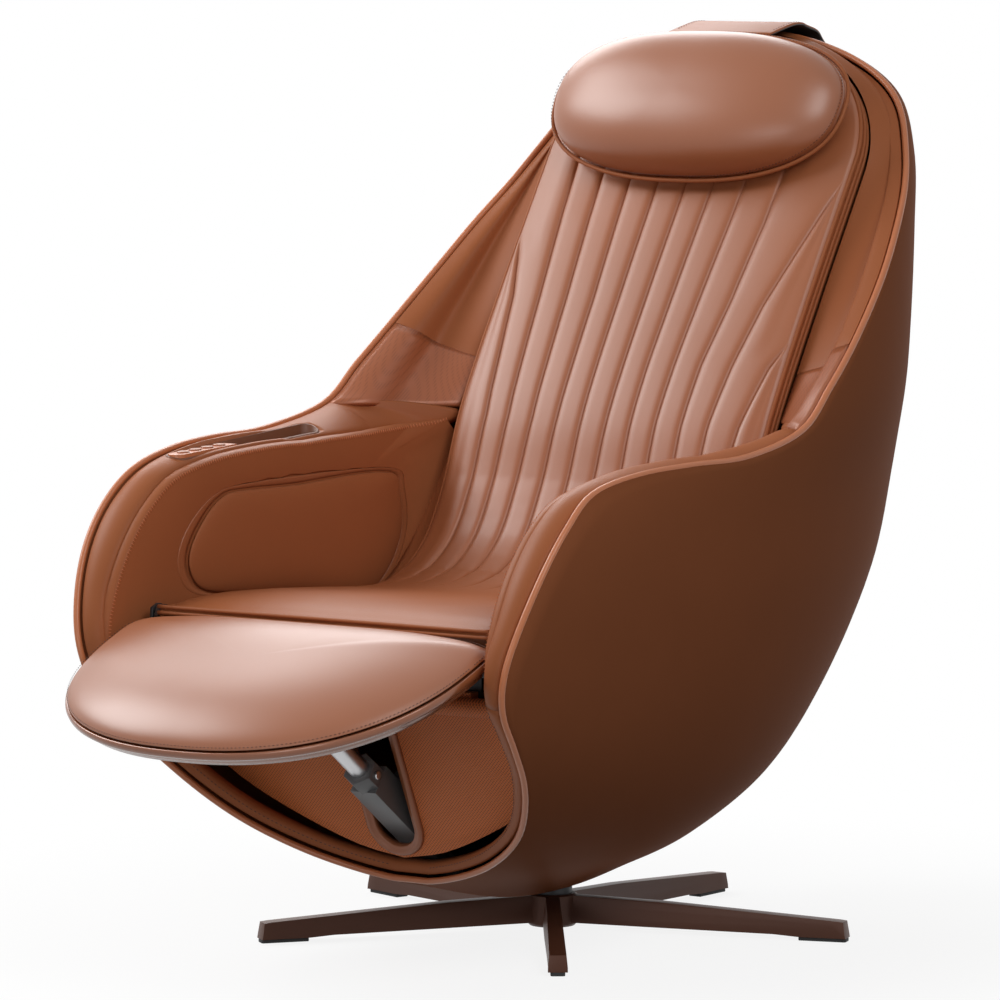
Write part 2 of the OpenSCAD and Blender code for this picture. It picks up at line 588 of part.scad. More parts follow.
// ---------- side walls with their air cushions ----------
WALL_FOOT = ARM_FOOT - 3;           // rim row at the wall's lower front corner
wall_floor = 388;
wall_top = 588;
wall_back = 128;                    // where each wall ends beside the cushion
function rim_inset(i, d) =
    let (t = unit(rim_side[i + 1] - rim_side[i - 1])) rim_side[i] + [-t[1], t[0]] * d;
module wall_outline() {
    polygon(concat([for (i = [WALL_FOOT : -1 : MESH_FOOT + 1]) rim_inset(i, 4)],
                   [[-4, wall_top], [wall_back, wall_top], [wall_back - 2, 560], [108, 520], [88, 462],
                    [62, 422], [0, 400], [-50, wall_floor]]));
}
// From above, each wall turns in behind its air cushion to meet the seat's cushion
wall_turn = 74;
wall_lean = 25;
module wall_plan() {
    x = side_x - wall_lean;
    polygon([[side_x, -600], [side_x + side_t, -600], [side_x + side_t, wall_turn],
             [x + side_t, wall_back + 1], [x, wall_back + 1], [side_x, wall_turn]]);
}
AIR_CUSHION = [[-378, 435], [-352, 416], [-275, 405], [-98, 387], [-7, 384], [40, 409], [70, 458],
    [66, 510],
               [45, 536], [-97, 541], [-265, 538], [-310, 531], [-345, 512], [-371, 487], [-384, 460]];
bezel_w = 9;
bezel_t = 3;
air_centre = [-155, 464];
function shrunk(p, c, d) = [for (q = p) q - unit(q - c) * d];
function closed_smooth(p, n) = let (c = len(p)) [for (i = [0 : c - 1], k = [0 : n - 1])
    spline(p[(i - 1 + c) % c], p[i], p[(i + 1) % c], p[(i + 2) % c], k / n)];
air_outline = closed_smooth(AIR_CUSHION, 2);
module left_wall_body() {
    difference() {
        intersection() {
            across(side_x - wall_lean - 1, side_x + side_t + 1) wall_outline();
            linear_extrude(700) wall_plan();
        }
        across(side_x - 1, side_x + bezel_t) polygon(air_outline);
    }
}
module left_side_wall() { color(dark_leather) left_wall_body(); }
module right_side_wall() { color(dark_leather) mirror([1, 0, 0]) left_wall_body(); }
module left_bezel_body() {
    across(side_x + 0.5, side_x + bezel_t) difference() {
        polygon(shrunk(air_outline, air_centre, seat_gap));
        polygon(shrunk(air_outline, air_centre, bezel_w));
    }
}
module left_side_bezel() { color("sienna") left_bezel_body(); }
module right_side_bezel() { color("sienna") mirror([1, 0, 0]) left_bezel_body(); }
module left_air_body() {
    pad = [for (p = shrunk(air_outline, air_centre, bezel_w + 1)) p - air_centre];
    translate([side_x + bezel_t, air_centre[0], air_centre[1]]) rotate([90, 0, -90]) mirror([1, 0, 0])
        half_cushion(pad, airbag_t + bezel_t, 4);
}
module left_air_cushion() { color(leather) left_air_body(); }
module right_air_cushion() { color(leather) mirror([1, 0, 0]) left_air_body(); }

// ---------- seat and back cushion ----------
// The cushion's face down the middle, seen from the side, from the seat's front to the top of the back
PAD_LINE = [[-350, 5], [-220, -3], [-100, -10], [-20, -1], [40, 36], [80, 101], [112, 181], [150, 251],
            [215, 356], [278, 454], [330, 536], [372, 600], [401, 647]];
pad_side = smooth_open(concat([[-seat_front, seat_z]], [for (p = PAD_LINE) [p[0], seat_z + p[1]]]), 4);
pad_run = run(pad_side);
pad_total = pad_run[len(pad_run) - 1];
pad_y = table(pad_side, 0);
pad_z = table(pad_side, 1);
pad_arch = 175;                     // length of the back's rounded top
function pad_point(s) = [lookup(s, pad_y), lookup(s, pad_z)];
function pad_normal(s) =
    let (t = unit(pad_point(min(s + 8, pad_total)) - pad_point(max(s - 8, 0)))) [-t[1], t[0]];
function pad_at_z(z) = max([for (i = [0 : len(pad_side) - 1]) if (pad_side[i][1] < z) pad_run[i]]);
function pad_half_width(s) =
    let (left = pad_total - s, q = max(0, 1 - left / pad_arch), f = max(0, 1 - s / 420))
    (pad_w / 2 + seat_flare * f) * sqrt(max(0.02, 1 - q * q));
COL_STEPS = 3;
channels = round(pad_w / channel_pitch);
cols = channels * COL_STEPS;
function pad_s(i, n) = let (t = i / n)
    pad_total * (t < 0.8 ? t * 0.9 / 0.8 : 1 - 0.1 * pow((1 - t) / 0.2, 1.6));
function pad_row(s) =
    let (c = pad_point(s), n = pad_normal(s), h = pad_half_width(s), front = min(1, s / 60),
        top = min(1, (pad_total - s) / 60))
    [for (j = [0 : cols]) let (u = 1 - 2 * j / cols, edge = 1 - pow(abs(u), 8),
        groove = (j % COL_STEPS == 0) ? channel_depth : 0,
        lift = -(1 - edge) * 12 - groove * front * top * (abs(u) < 0.99 ? 1 : 0) - 6 * (1 - front))
        [u * h, c[0] + n[0] * lift, c[1] + n[1] * lift]];
function pad_back_row(s) =
    let (c = pad_point(s), n = pad_normal(s), h = pad_half_width(s),
        t = min(pad_t, mix(16, pad_t, s / 60), mix(18, pad_t, (pad_total - s) / pad_arch)))
    [for (j = [0 : cols]) let (u = 1 - 2 * j / cols) [u * h * 0.985, c[0] - n[0] * t, c[1] - n[1] * t]];
PAD_ROWS = 17;
module seat_back_cushion() {
    front = [for (i = [0 : PAD_ROWS]) pad_row(pad_s(i, PAD_ROWS))];
    color(leather) slab(front, [for (i = [0 : PAD_ROWS]) pad_back_row(pad_s(i, PAD_ROWS))]);
}

// ---------- seat pan and massage unit ----------
pan_t = 12;
pan_gap = pad_t + 0.5;
back_foot = [150, seat_z + 251];    // a point on the straight of the back
back_dir = unit([278, 454] - [150, 251]);
back_tilt = atan2(back_dir[1], back_dir[0]);
// Places things on the back: x across, y away from the sitter and z up the back
module on_back(z) {
    translate([0, back_foot[0], back_foot[1]]) rotate([back_tilt - 90, 0, 0]) translate([0, 0, z])
        children();
}
function back_point(y, z) = back_foot + back_dir * z + [back_dir[1], -back_dir[0]] * y;
carriage_z = -8;
window_rise = (roller_pitch + roller_d) / 2 + 10;
window_z = [carriage_z - window_rise, carriage_z + carriage_travel + window_rise];
pan_floor = 352;
pan_y = [-404, 96];
module seat_pan() {
    face = [for (i = [0 : PAD_ROWS - 1]) let (s = pad_s(i, PAD_ROWS))
        if (s > 62) pad_point(s) - pad_normal(s) * pan_gap];
    color("dimgray") difference() {
        across(-pad_w / 2 + 10, pad_w / 2 - 10) polygon(concat(
            [[pan_y[0], pan_floor]], face,
            [back_point(pan_gap + pan_t, 340), back_point(pan_gap + pan_t, -95), [140, 520], [118, 440],
             [pan_y[1], pan_floor]]));
        on_back(0) translate([-110, pan_gap - 20, window_z[0]]) cube([220, 60, window_z[1] - window_z[0]]);
        on_back(window_z[1] - 1) translate([-pad_w, pan_gap - 20, 30]) cube([2 * pad_w, 80, 200]);
    }
}
rail_y0 = pan_gap + pan_t + seat_gap;
rail_d = 26;
rail_z = [carriage_z - 70, carriage_z + carriage_travel + 75];
module carriage_rails() {
    color("silver") on_back(0) for (x = side) difference() {
        translate([x * rail_x - 10, rail_y0, rail_z[0]]) cube([20, rail_d, rail_z[1] - rail_z[0]]);
        translate([x * (rail_x - 10) - 6, rail_y0 + 5, rail_z[0] - 1])
            cube([12, rail_d - 10, rail_z[1] - rail_z[0] + 2]);
    }
}
wheel_r = rail_d / 2 - 5 - fit;
arm_axis_y = pan_gap + 56;
roller_y = pad_t + 8 + roller_d / 2;
unit_y = arm_axis_y + 12;
module massage_carriage() {
    color(steel) on_back(carriage_z) difference() {
        union() {
            translate([-rail_x + 16, unit_y, -52]) cube([2 * rail_x - 32, 4, 104]);
            for (x = side, z = side) translate([0, rail_y0 + rail_d / 2, z * 40])
                along_x(x > 0 ? rail_x - 20 : -rail_x + 5, x > 0 ? rail_x - 5 : -rail_x + 20, wheel_r);
            for (x = side, z = side) translate([x * (rail_x - 19) - 3, rail_y0 + 4, z * 40 - 8])
                cube([6, unit_y - rail_y0 - 2, 16]);
            for (x = [-roller_x - 14, -roller_x + 8, roller_x - 14, roller_x + 8])
                translate([x, arm_axis_y - 8, -8]) cube([6, 22, 16]);
        }
        translate([0, arm_axis_y, 0]) along_x(-rail_x, rail_x, 4 + fit);
    }
}
module carriage_motors() {
    color("black") on_back(carriage_z) for (x = side) translate([x * 60, unit_y + 4 + 20, -x * 26])
        along_x(-38, 38, 20);
    color("dimgray") on_back(carriage_z) translate([-100, unit_y + 4, -50]) cube([200, 12, 100]);
}
arm_w = 12;
module massage_arm(s) {
    color("gainsboro") on_back(carriage_z) translate([s * roller_x, 0, 0]) difference() {
        union() {
            translate([0, arm_axis_y, 0]) along_x(-arm_w / 2 + 1, arm_w / 2 - 1, 11);
            for (z = side) hull() {
                translate([0, arm_axis_y, 0]) along_x(-arm_w / 2 + 1, arm_w / 2 - 1, 9);
                translate([0, roller_y + 6, z * roller_pitch / 2])
                    along_x(-arm_w / 2 + 1, arm_w / 2 - 1, 8);
            }
            translate([0, arm_axis_y, 0]) along_x(-14, 14, 4);
            for (z = side) translate([0, roller_y, z * roller_pitch / 2]) {
                along_x(-arm_w / 2 + 1, arm_w / 2 - 1, 9);
                along_x(s > 0 ? 0 : -28, s > 0 ? 28 : 0, 4);
            }
        }
    }
}
module left_massage_arm() { massage_arm(1); }
module right_massage_arm() { massage_arm(-1); }
module roller(s, z) {
    w = 20;
    r = roller_d / 2;
    color("ivory") on_back(carriage_z)
        translate([s * (roller_x + arm_w / 2 + w / 2), roller_y, z * roller_pitch / 2])
            rotate([0, 90, 0]) rotate_extrude() polygon([
                [4 + fit, -w / 2], [r - 6, -w / 2], [r - 1.5, -w / 2 + 4], [r, 0],
                [r - 1.5, w / 2 - 4], [r - 6, w / 2], [4 + fit, w / 2]]);
}
module left_upper_roller() { roller(1, 1); }
module left_lower_roller() { roller(1, -1); }
module right_upper_roller() { roller(-1, 1); }
module right_lower_roller() { roller(-1, -1); }
module control_box() {
    color("dimgray") translate([-55, 20, frame_top - rail_h - 62]) difference() {
        cube([110, 90, 50]);
        for (i = [0 : 5]) translate([12 + 16 * i, -1, 46]) cube([6, 92, 5]);
    }
    color("dimgray") translate([-55, 20, frame_top - rail_h - 12.1]) cube([8, 90, 12.1 - seat_gap]);
}
module air_pump() {
    color("dimgray") translate([0, -60, plate_z + plate_t + frame_foot_t + seat_gap]) {
        translate([-45, -40, -frame_foot_t]) cube([90, 80, 60 + frame_foot_t]);
        for (x = side) translate([x * 24, -40, 34]) rotate([90, 0, 0]) cylinder(h = 20, r = 16);
    }
}

// ---------- headrest ----------
pillow_at = pad_at_z(900) + 76;     // distance along the back of the pillow's middle
pillow_lean = 4;
pillow_back = 1.4;                    // how far the pillow's back lies off the cushion
pillow_face = 0.72;                 // share of the thickness in front of the seam
module on_pillow() {
    c = pad_point(pillow_at) + [-back_dir[1], back_dir[0]] * (pillow_back + pillow_t * (1 - pillow_face));
    translate([0, c[0], c[1]]) rotate([back_tilt + pillow_lean, 0, 0]) children();
}
module headrest_pillow() {
    outline = [for (p = superellipse(pillow_w / 2, pillow_h / 2, 2.4, 40))
        [p[0] * (1 + 0.05 * p[1] / pillow_h), p[1]]];
    color(leather) on_pillow() cushion(outline, pillow_t * pillow_face, pillow_t * (1 - pillow_face), 7);
}
strap_clear = 3;
module pillow_strap() {
    top = [0, lookup(shell_top, egg_centre)];
    lean = turn(back_dir, pillow_lean);
    start = pad_point(pillow_at) + lean * (pillow_h / 2 + seat_gap)
        + [-back_dir[1], back_dir[0]] * (pillow_back + pillow_t * (1 - pillow_face));
    over = [for (i = [0 : 6]) let (z = shell_top - [0, 6, 16, 34, 60, 95, 135][i])
        [lookup(z, egg_centre) + lookup(z, egg_depth), z]];
    function out(p) = p + unit([egg_normal([0, p[0], p[1]])[1],
        egg_normal([0, p[0], p[1]])[2]]) * strap_clear;
    line = concat([start, [top[1] - 34, shell_top + strap_clear + 1.5],
        [top[1] - 12, shell_top + strap_clear + 3]], [for (p = over) out(p)]);
    soft = smooth_open(line, 3);
    n = len(soft) - 1;
    normals = [for (i = [0 : n]) let (t = unit(soft[min(i + 1, n)] - soft[max(i - 1, 0)])) [-t[1], t[0]]];
    color(dark_leather) across(-strap_w / 2, strap_w / 2)
        polygon(concat(soft, [for (i = [n : -1 : 0]) soft[i] + normals[i] * strap_t]));
}

// ---------- front panel ----------
panel_foot_z = 125;
panel_top_z = 318;
panel_y = -308;                     // the panel's plane at height panel_level
panel_level = 139;
panel_lean = atan(0.443);           // lean of the panel's plane off upright
module on_panel() { translate([0, panel_y, panel_level]) rotate([90 + panel_lean, 0, 0]) children(); }
function up_panel(z) = (z - panel_level) / cos(panel_lean);
PANEL_SIDE = [[0, 120], [60, 131], [129, 158], [194, 192], [236, 227], [246, 270], [246, 318]];
slot_z = [135, 328];
module slot_outline(grow) {
    r = slot_w / 2 + grow;
    foot = up_panel(slot_z[0]) + slot_w / 2;
    head = up_panel(slot_z[1]) - slot_w / 2;
    translate([0, foot]) circle(r);
    translate([0, head]) circle(r);
    translate([-r, foot]) square([2 * r, head - foot]);
}
module front_mesh_panel() {
    half = smooth_open([for (p = PANEL_SIDE) [p[0], up_panel(p[1])]], 3);
    n = len(half) - 1;
    color("chocolate") on_panel() {
        difference() {
            translate([0, 0, -panel_t]) linear_extrude(panel_t)
                polygon(concat(half, [for (i = [n : -1 : 1]) [-half[i][0], half[i][1]]]));
            translate([0, 0, -panel_t - 1]) linear_extrude(panel_t + 2) slot_outline(slot_rim);
        }
        for (s = side) at_side(s) translate([0, up_panel(panel_top_z), ridge_d / 2 - panel_t])
            along_x(slot_w / 2 + slot_rim + 0.5, PANEL_SIDE[5][0], ridge_d / 2);
    }
    color("chocolate") for (s = side)
        translate([s * frame_x - 8, frame_front - 16, panel_top_z - 4]) cube([16, 16 - seat_gap, 18]);
}
module slot_rim_trim() {
    color("sienna") on_panel() difference() {
        union() {
            translate([0, 0, -panel_t]) linear_extrude(panel_t) slot_outline(slot_rim - seat_gap);
            linear_extrude(5) slot_outline(slot_rim - 2);
        }
        translate([0, 0, -panel_t - 1]) linear_extrude(panel_t + 20) slot_outline(0);
    }
}

// ---------- leg rest ----------
bracket_x = pad_w / 2 + seat_flare + 4;
bracket_t = 5;
arm_t = 4;
pin_len = 16;
module hinge_brackets() {
    color(steel) for (s = side) at_side(s) difference() {
        union() {
            across(bracket_x, bracket_x + bracket_t)
                polygon([[-hinge_y - 9, hinge_z - 4], [-hinge_y - 4, hinge_z + 9],
                [-hinge_y + 8, hinge_z + 8],
                [-370, 384], [-300, 370], [-300, frame_top - rail_h], [-372, frame_top - rail_h],
                    [-395, 345],
                [-hinge_y + 2, hinge_z - 12]]);
            translate([frame_x + 12, -372, frame_top - rail_h]) cube([bracket_x - frame_x - 12 + 1, 60, 8]);
        }
        translate([0, -hinge_y, hinge_z]) along_x(bracket_x - 1, bracket_x + 20, hinge_d / 2 + fit);
    }
}
module hinge_pins() {
    color("silver") translate([0, -hinge_y, hinge_z]) for (s = side) at_side(s) {
        along_x(bracket_x - 2.5, bracket_x - 0.1, hinge_d / 2 + 2);
        along_x(bracket_x - 1, bracket_x + bracket_t + arm_t + 1, hinge_d / 2);
    }
}
module on_leg_rest() { translate([0, -hinge_y, hinge_z]) rotate([rest_slope, 0, 0]) children(); }
rest_back = 12;                     // gap from the hinge line to the cushion's back edge
function rest_outline(grow) =
    [for (i = [0 : 39]) let (t = 360 * i / 40, n = sin(t) > 0 ? 4.5 : 2.35, c = rest_back + 62,
        b = (sin(t) > 0 ? c - rest_back : rest_len - c) + grow)
        [(rest_w / 2 + grow) * sign(cos(t)) * pow(abs(cos(t)), 2 / n),
         -c + b * sign(sin(t)) * pow(abs(sin(t)), 2 / n)]];
rest_middle = [0, -150];
module leg_rest_cushion() {
    outline = [for (p = rest_outline(-5)) p - rest_middle];
    color(leather) on_leg_rest() translate([rest_middle[0], rest_middle[1], seat_gap])
        half_cushion(outline, rest_crown, 7);
}
module leg_rest_tray() {
    color("sienna") on_leg_rest() difference() {
        union() {
            translate([0, 0, -8]) linear_extrude(8) polygon(rest_outline(0));
            translate([0, 0, -rest_tray]) linear_extrude(rest_tray - 8) polygon(rest_outline(-10));
        }
        translate([-22, -140, -rest_tray - 1]) cube([44, 90, 12]);
    }
}
// The front pivot seen from the hinge, upright and then in the leg rest's own frame
PIVOT_ARM = [-79, -70];
clevis = turn(PIVOT_ARM, -rest_slope);
ear_x = 13;
module leg_rest_arms() {
    plate_z0 = -rest_tray - seat_gap - 4;
    color(steel) on_leg_rest() {
        for (s = side) at_side(s) {
            difference() {
                across(bracket_x + bracket_t + 0.4, bracket_x + bracket_t + 0.4 + arm_t)
                    polygon([[9, -6], [9, 6], [4, 9], [-8, 9], [-11, 3], [-26, -rest_tray - 1],
                        [-26, plate_z0], [-16, plate_z0]]);
                along_x(bracket_x, bracket_x + 30, hinge_d / 2 + fit);
            }
            translate([50, -46, plate_z0]) cube([bracket_x + bracket_t + arm_t - 50, 24, 4]);
        }
        translate([-60, -125, plate_z0]) cube([120, 103, 4]);
        difference() {
            for (x = [-ear_x - 5, ear_x]) across(x, x + 5) polygon([
                [clevis[0] - 11, clevis[1] - 4], [clevis[0] - 14, plate_z0 + 2],
                    [clevis[0] + 14, plate_z0 + 2],
                [clevis[0] + 11, clevis[1] - 4], [clevis[0] + 5, clevis[1] - 10],
                    [clevis[0] - 5, clevis[1] - 10]]);
            translate([0, clevis[0], clevis[1]]) along_x(-30, 30, 4);
        }
    }
}
module clevis_pin() {
    color("silver") on_leg_rest() translate([0, clevis[0], clevis[1]]) {
        along_x(-ear_x - 7, ear_x + 5, 4 - fit);
        along_x(-ear_x - 8, -ear_x - 5.1, 6.5);
    }
}

// ---------- actuator ----------
front_pivot = [-hinge_y, hinge_z] + PIVOT_ARM;
rear_pivot = front_pivot + actuator_len * [cos(actuator_slope), -sin(actuator_slope)];
// Places things on the actuator: z runs back and down from the front pivot, and y up
module on_actuator() {
    translate([0, front_pivot[0], front_pivot[1]]) rotate([-90 - actuator_slope, 0, 0]) children();
}
housing_end = actuator_len - 44;
tube_end = collar_at + 40;
module actuator_tube() {
    color("silver") on_actuator() difference() {
        union() {
            translate([0, 0, 24]) cylinder(h = tube_end - 24, r = tube_d / 2 - fit);
            cylinder(h = 25, r = 7);
            along_x(-ear_x + 1, ear_x - 1, 8);
        }
        along_x(-30, 30, 4 + fit);
    }
}
module actuator_housing() {
    w = housing_w;
    color("gray") on_actuator() difference() {
        union() {
            translate([-w / 2, -w / 2, collar_at + 22]) cube([w, w, housing_end - collar_at - 22]);
            translate([0, 0, collar_at]) rotate([0, 0, 30]) cylinder(h = 22, r = w / 2 + 3, $fn = 6);
            translate([-6, -9, housing_end - 1]) cube([12, 18, actuator_len - housing_end]);
            translate([0, 0, actuator_len]) along_x(-18, 18, 9);
            translate([0, -w / 2 - 14, housing_end - 104]) cylinder(h = 100, r = 17);
        }
        translate([0, 0, collar_at - 1]) cylinder(h = housing_end - collar_at - 9, r = tube_d / 2);
    }
}
module collar_screws() {
    w = housing_w;
    color("gainsboro") on_actuator() for (s = side) at_side(s)
        translate([(w / 2 + 3) * cos(30), 0, collar_at + 11])
        along_x(0, 3, 5);
}
module actuator_bracket() {
    ear = [19, 25];
    deck = 132;
    plate_edge = plate_y - plate_size[1] / 2 - 2;
    sole = plate_z + plate_t + seat_gap;
    color(steel) for (s = side) at_side(s) {
        across(ear[0], ear[1]) polygon([[rear_pivot[0] - 14, rear_pivot[1] - 12],
            [rear_pivot[0] + 12, rear_pivot[1] - 12],
            [plate_edge, plate_z - 6], [plate_edge, sole], [plate_edge + 34, sole], [plate_edge + 34, deck],
            [rear_pivot[0] + 30, deck], [rear_pivot[0] - 14, rear_pivot[1] + 10]]);
        translate([0, rear_pivot[0], rear_pivot[1]]) along_x(18.5, ear[0] + 1, 6);
    }
    color(steel) for (s = side) at_side(s) translate([ear[0], plate_y - plate_size[1] / 2 + 8, sole])
        cube([bolt_at[0] - 16 - seat_gap - ear[0], 24, 4]);
}

// ---------- controls in the arm ----------
module control_tray() {
    color("black") on_arm() difference() {
        translate([0, 0, tray_top - tray_depth]) linear_extrude(tray_depth) tray_outline(0);
        translate([0, 0, tray_top - tray_depth + tray_wall]) linear_extrude(tray_depth)
            tray_outline(-tray_wall);
    }
}
panel_len = 112;
panel_gap_z = 3.5;                  // how deep the buttons' panel lies in the recess
panel_h = tray_depth - tray_wall - panel_gap_z;
strip_z = tray_top - tray_depth + tray_wall;
function button_y(k) = tray_y + 24 + 23 * k;
module control_panel() {
    color("tan") on_arm() difference() {
        translate([0, 0, strip_z]) linear_extrude(panel_h) intersection() {
            tray_outline(-tray_wall - seat_gap);
            translate([-tray_x - tray_w, tray_y]) square([2 * tray_w, panel_len]);
        }
        for (k = [0 : 3]) translate([-tray_x, button_y(k), strip_z + panel_h - 6])
            cylinder(h = 20, r = button_d / 2 + 0.3);
    }
}
module button(k) {
    color("dimgray") on_arm() translate([-tray_x, button_y(k), strip_z + panel_h - 6 + button_travel + 0.3])
        cylinder(h = 6, r = button_d / 2);
}
module power_button() { button(0); }
module program_button() { button(1); }
module strength_button() { button(2); }
module heat_button() { button(3); }

star_base();
foot_glides();
lower_bearing_race();
bearing_balls();
swivel_spindle();
spindle_nut();
upper_bearing_race();
swivel_plate();
plate_bolts();
under_frame();
outer_shell();
rear_cover();
rear_cover_screws();
left_arm_pad();
right_arm_pad();
head_surround();
front_liner();
left_mesh_insert();
right_mesh_insert();
left_side_wall();
right_side_wall();
left_side_bezel();
right_side_bezel();
left_air_cushion();
right_air_cushion();
seat_pan();
seat_back_cushion();
front_mesh_panel();
slot_rim_trim();
hinge_brackets();
hinge_pins();
actuator_bracket();
control_tray();
control_panel();
power_button();
program_button();
strength_button();
heat_button();
carriage_rails();
control_box();
air_pump();
power_inlet();
power_switch();
leg_rest_cushion();
leg_rest_tray();
leg_rest_arms();
clevis_pin();
actuator_tube();
actuator_housing();
collar_screws();
massage_carriage();
carriage_motors();
left_massage_arm();
right_massage_arm();
left_upper_roller();
left_lower_roller();
right_upper_roller();
right_lower_roller();
headrest_pillow();
pillow_strap();
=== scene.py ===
"""Dresses the frame of an egg-shaped massage chair: upholstery, trim, finishes, stage and camera."""

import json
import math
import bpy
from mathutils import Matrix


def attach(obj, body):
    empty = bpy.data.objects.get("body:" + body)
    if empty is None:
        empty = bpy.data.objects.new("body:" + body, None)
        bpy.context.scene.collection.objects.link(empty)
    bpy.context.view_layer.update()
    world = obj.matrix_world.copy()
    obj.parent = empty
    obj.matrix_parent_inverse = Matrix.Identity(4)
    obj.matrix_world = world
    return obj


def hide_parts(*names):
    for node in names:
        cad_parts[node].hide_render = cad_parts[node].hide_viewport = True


bl_info = {
    "name": "Egg massage chair",
    "version": (1, 0, 0),
    "blender": (4, 5, 0),
    "location": "View3D > Sidebar > Chair",
    "description": "Upholsters an egg-shaped massage chair over its frame and sets it on a stage",
    "category": "Object",
}

import bmesh
import bpy
import numpy as np
from bpy.props import FloatProperty, FloatVectorProperty, IntProperty, PointerProperty
from mathutils.bvhtree import BVHTree
from mathutils import Vector

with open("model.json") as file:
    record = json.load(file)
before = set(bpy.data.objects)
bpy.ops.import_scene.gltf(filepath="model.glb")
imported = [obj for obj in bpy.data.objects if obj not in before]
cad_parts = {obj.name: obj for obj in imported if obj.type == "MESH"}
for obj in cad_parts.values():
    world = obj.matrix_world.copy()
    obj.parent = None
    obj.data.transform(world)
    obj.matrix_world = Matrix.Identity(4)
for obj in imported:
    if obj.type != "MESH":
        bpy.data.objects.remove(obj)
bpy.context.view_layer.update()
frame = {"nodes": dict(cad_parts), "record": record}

# Level sections of the egg: height, half width, centre and half depth,
# as shares of its height, half width and depth
EGG_SECTIONS = [
    (0, 0, -0.03, 0), (0.006, 0.08, -0.03, 0.08), (0.028, 0.23, -0.046, 0.16), (0.073, 0.53, -0.1, 0.28),
    (0.14, 0.74, -0.145, 0.445), (0.24, 0.89, -0.19, 0.587), (0.364, 0.97, -0.19, 0.672),
    (0.475, 0.99, -0.158, 0.675), (0.573, 0.985, -0.016, 0.526), (0.66, 0.96, 0.07, 0.432),
    (0.77, 0.9, 0.163, 0.332), (0.857, 0.79, 0.268, 0.224), (0.93, 0.635, 0.345, 0.128),
    (0.979, 0.37, 0.375, 0.058), (1, 0, 0.398, 0),
]
# The open edge seen from the side, from the top down to the lower front,
# as shares of the shell's depth and height
RIM_LINE = [
    (0.398, 1), (0.396, 0.994), (0.391, 0.979), (0.384, 0.96), (0.37, 0.93), (0.349, 0.891), (0.303, 0.823),
    (0.25, 0.767), (0.194, 0.711), (0.124, 0.648), (0.068, 0.602), (0.008, 0.556), (-0.1, 0.534),
    (-0.197, 0.532), (-0.28, 0.527), (-0.352, 0.511), (-0.398, 0.478), (-0.436, 0.432), (-0.464, 0.376),
    (-0.477, 0.323), (-0.468, 0.278), (-0.435, 0.234), (-0.395, 0.19), (-0.35, 0.137), (-0.315, 0.096),
    (-0.286, 0.066), (-0.269, 0.05),
]
RIM_FOOT = 0.041                # the edge's lowest point, as a share of the shell's height
STEPS = 6                       # rim rows between two points of the rim's line
# Rim rows where the mesh insert starts and ends, and where the arm band meets the front band
MESH_TOP, MESH_FOOT, ARM_FOOT = 9 * STEPS, 11 * STEPS, 20 * STEPS
# The seat and back cushion's face down the middle, from the seat's front to the top of the back
PAD_LINE = [
    (-0.458, 0.419), (-0.350, 0.424), (-0.220, 0.416), (-0.100, 0.409), (-0.020, 0.418), (0.040, 0.455),
    (0.080, 0.520), (0.112, 0.600), (0.150, 0.670), (0.215, 0.775), (0.278, 0.873), (0.330, 0.955),
    (0.372, 1.019), (0.401, 1.066),
]
# The sewn channels: x against distance along the cushion, for the outer ones on each side
CHANNEL_RUN = (0.30, 0.59, 0.675, 0.755, 0.84, 0.955, 1.2)
CHANNELS = [
    (-0.185, -0.178, -0.178, -0.186, -0.197, -0.228, -0.30), (-0.150, -0.146, -0.145, -0.150,
                                                              -0.156, -0.166, -0.18),
    (-0.113, -0.111, -0.109, -0.112, -0.116, -0.124, -0.135),
    (-0.076, -0.074, -0.073, -0.074, -0.076, -0.082, -0.09),
    (-0.038, -0.037, -0.037, -0.038, -0.039, -0.041, -0.045), (0.0, 0.0, 0.0, 0.0, 0.0, 0.0, 0.0),
    (0.038, 0.037, 0.035, 0.035, 0.037, 0.039, 0.045), (0.076, 0.073, 0.071, 0.073, 0.077, 0.083, 0.09),
    (0.113, 0.110, 0.108, 0.111, 0.123, 0.133, 0.14), (0.147, 0.145, 0.146, 0.155, 0.171, 0.204, 0.27),
    (0.182, 0.182, 0.189, 0.206, 0.24, 0.30, 0.36),
]
# The outline of a side wall's air cushion, in depth and height
AIR_CUSHION = [
    (-0.378, 0.435), (-0.352, 0.416), (-0.275, 0.405), (-0.098, 0.387), (-0.007, 0.384), (0.040, 0.409),
    (0.070, 0.458), (0.066, 0.510), (0.045, 0.536), (-0.097, 0.541), (-0.265, 0.538), (-0.310, 0.531),
    (-0.345, 0.512), (-0.371, 0.487), (-0.384, 0.460),
]


def length(label, text, default):
    return FloatProperty(name=label, description=text, default=default, subtype="DISTANCE", unit="LENGTH")


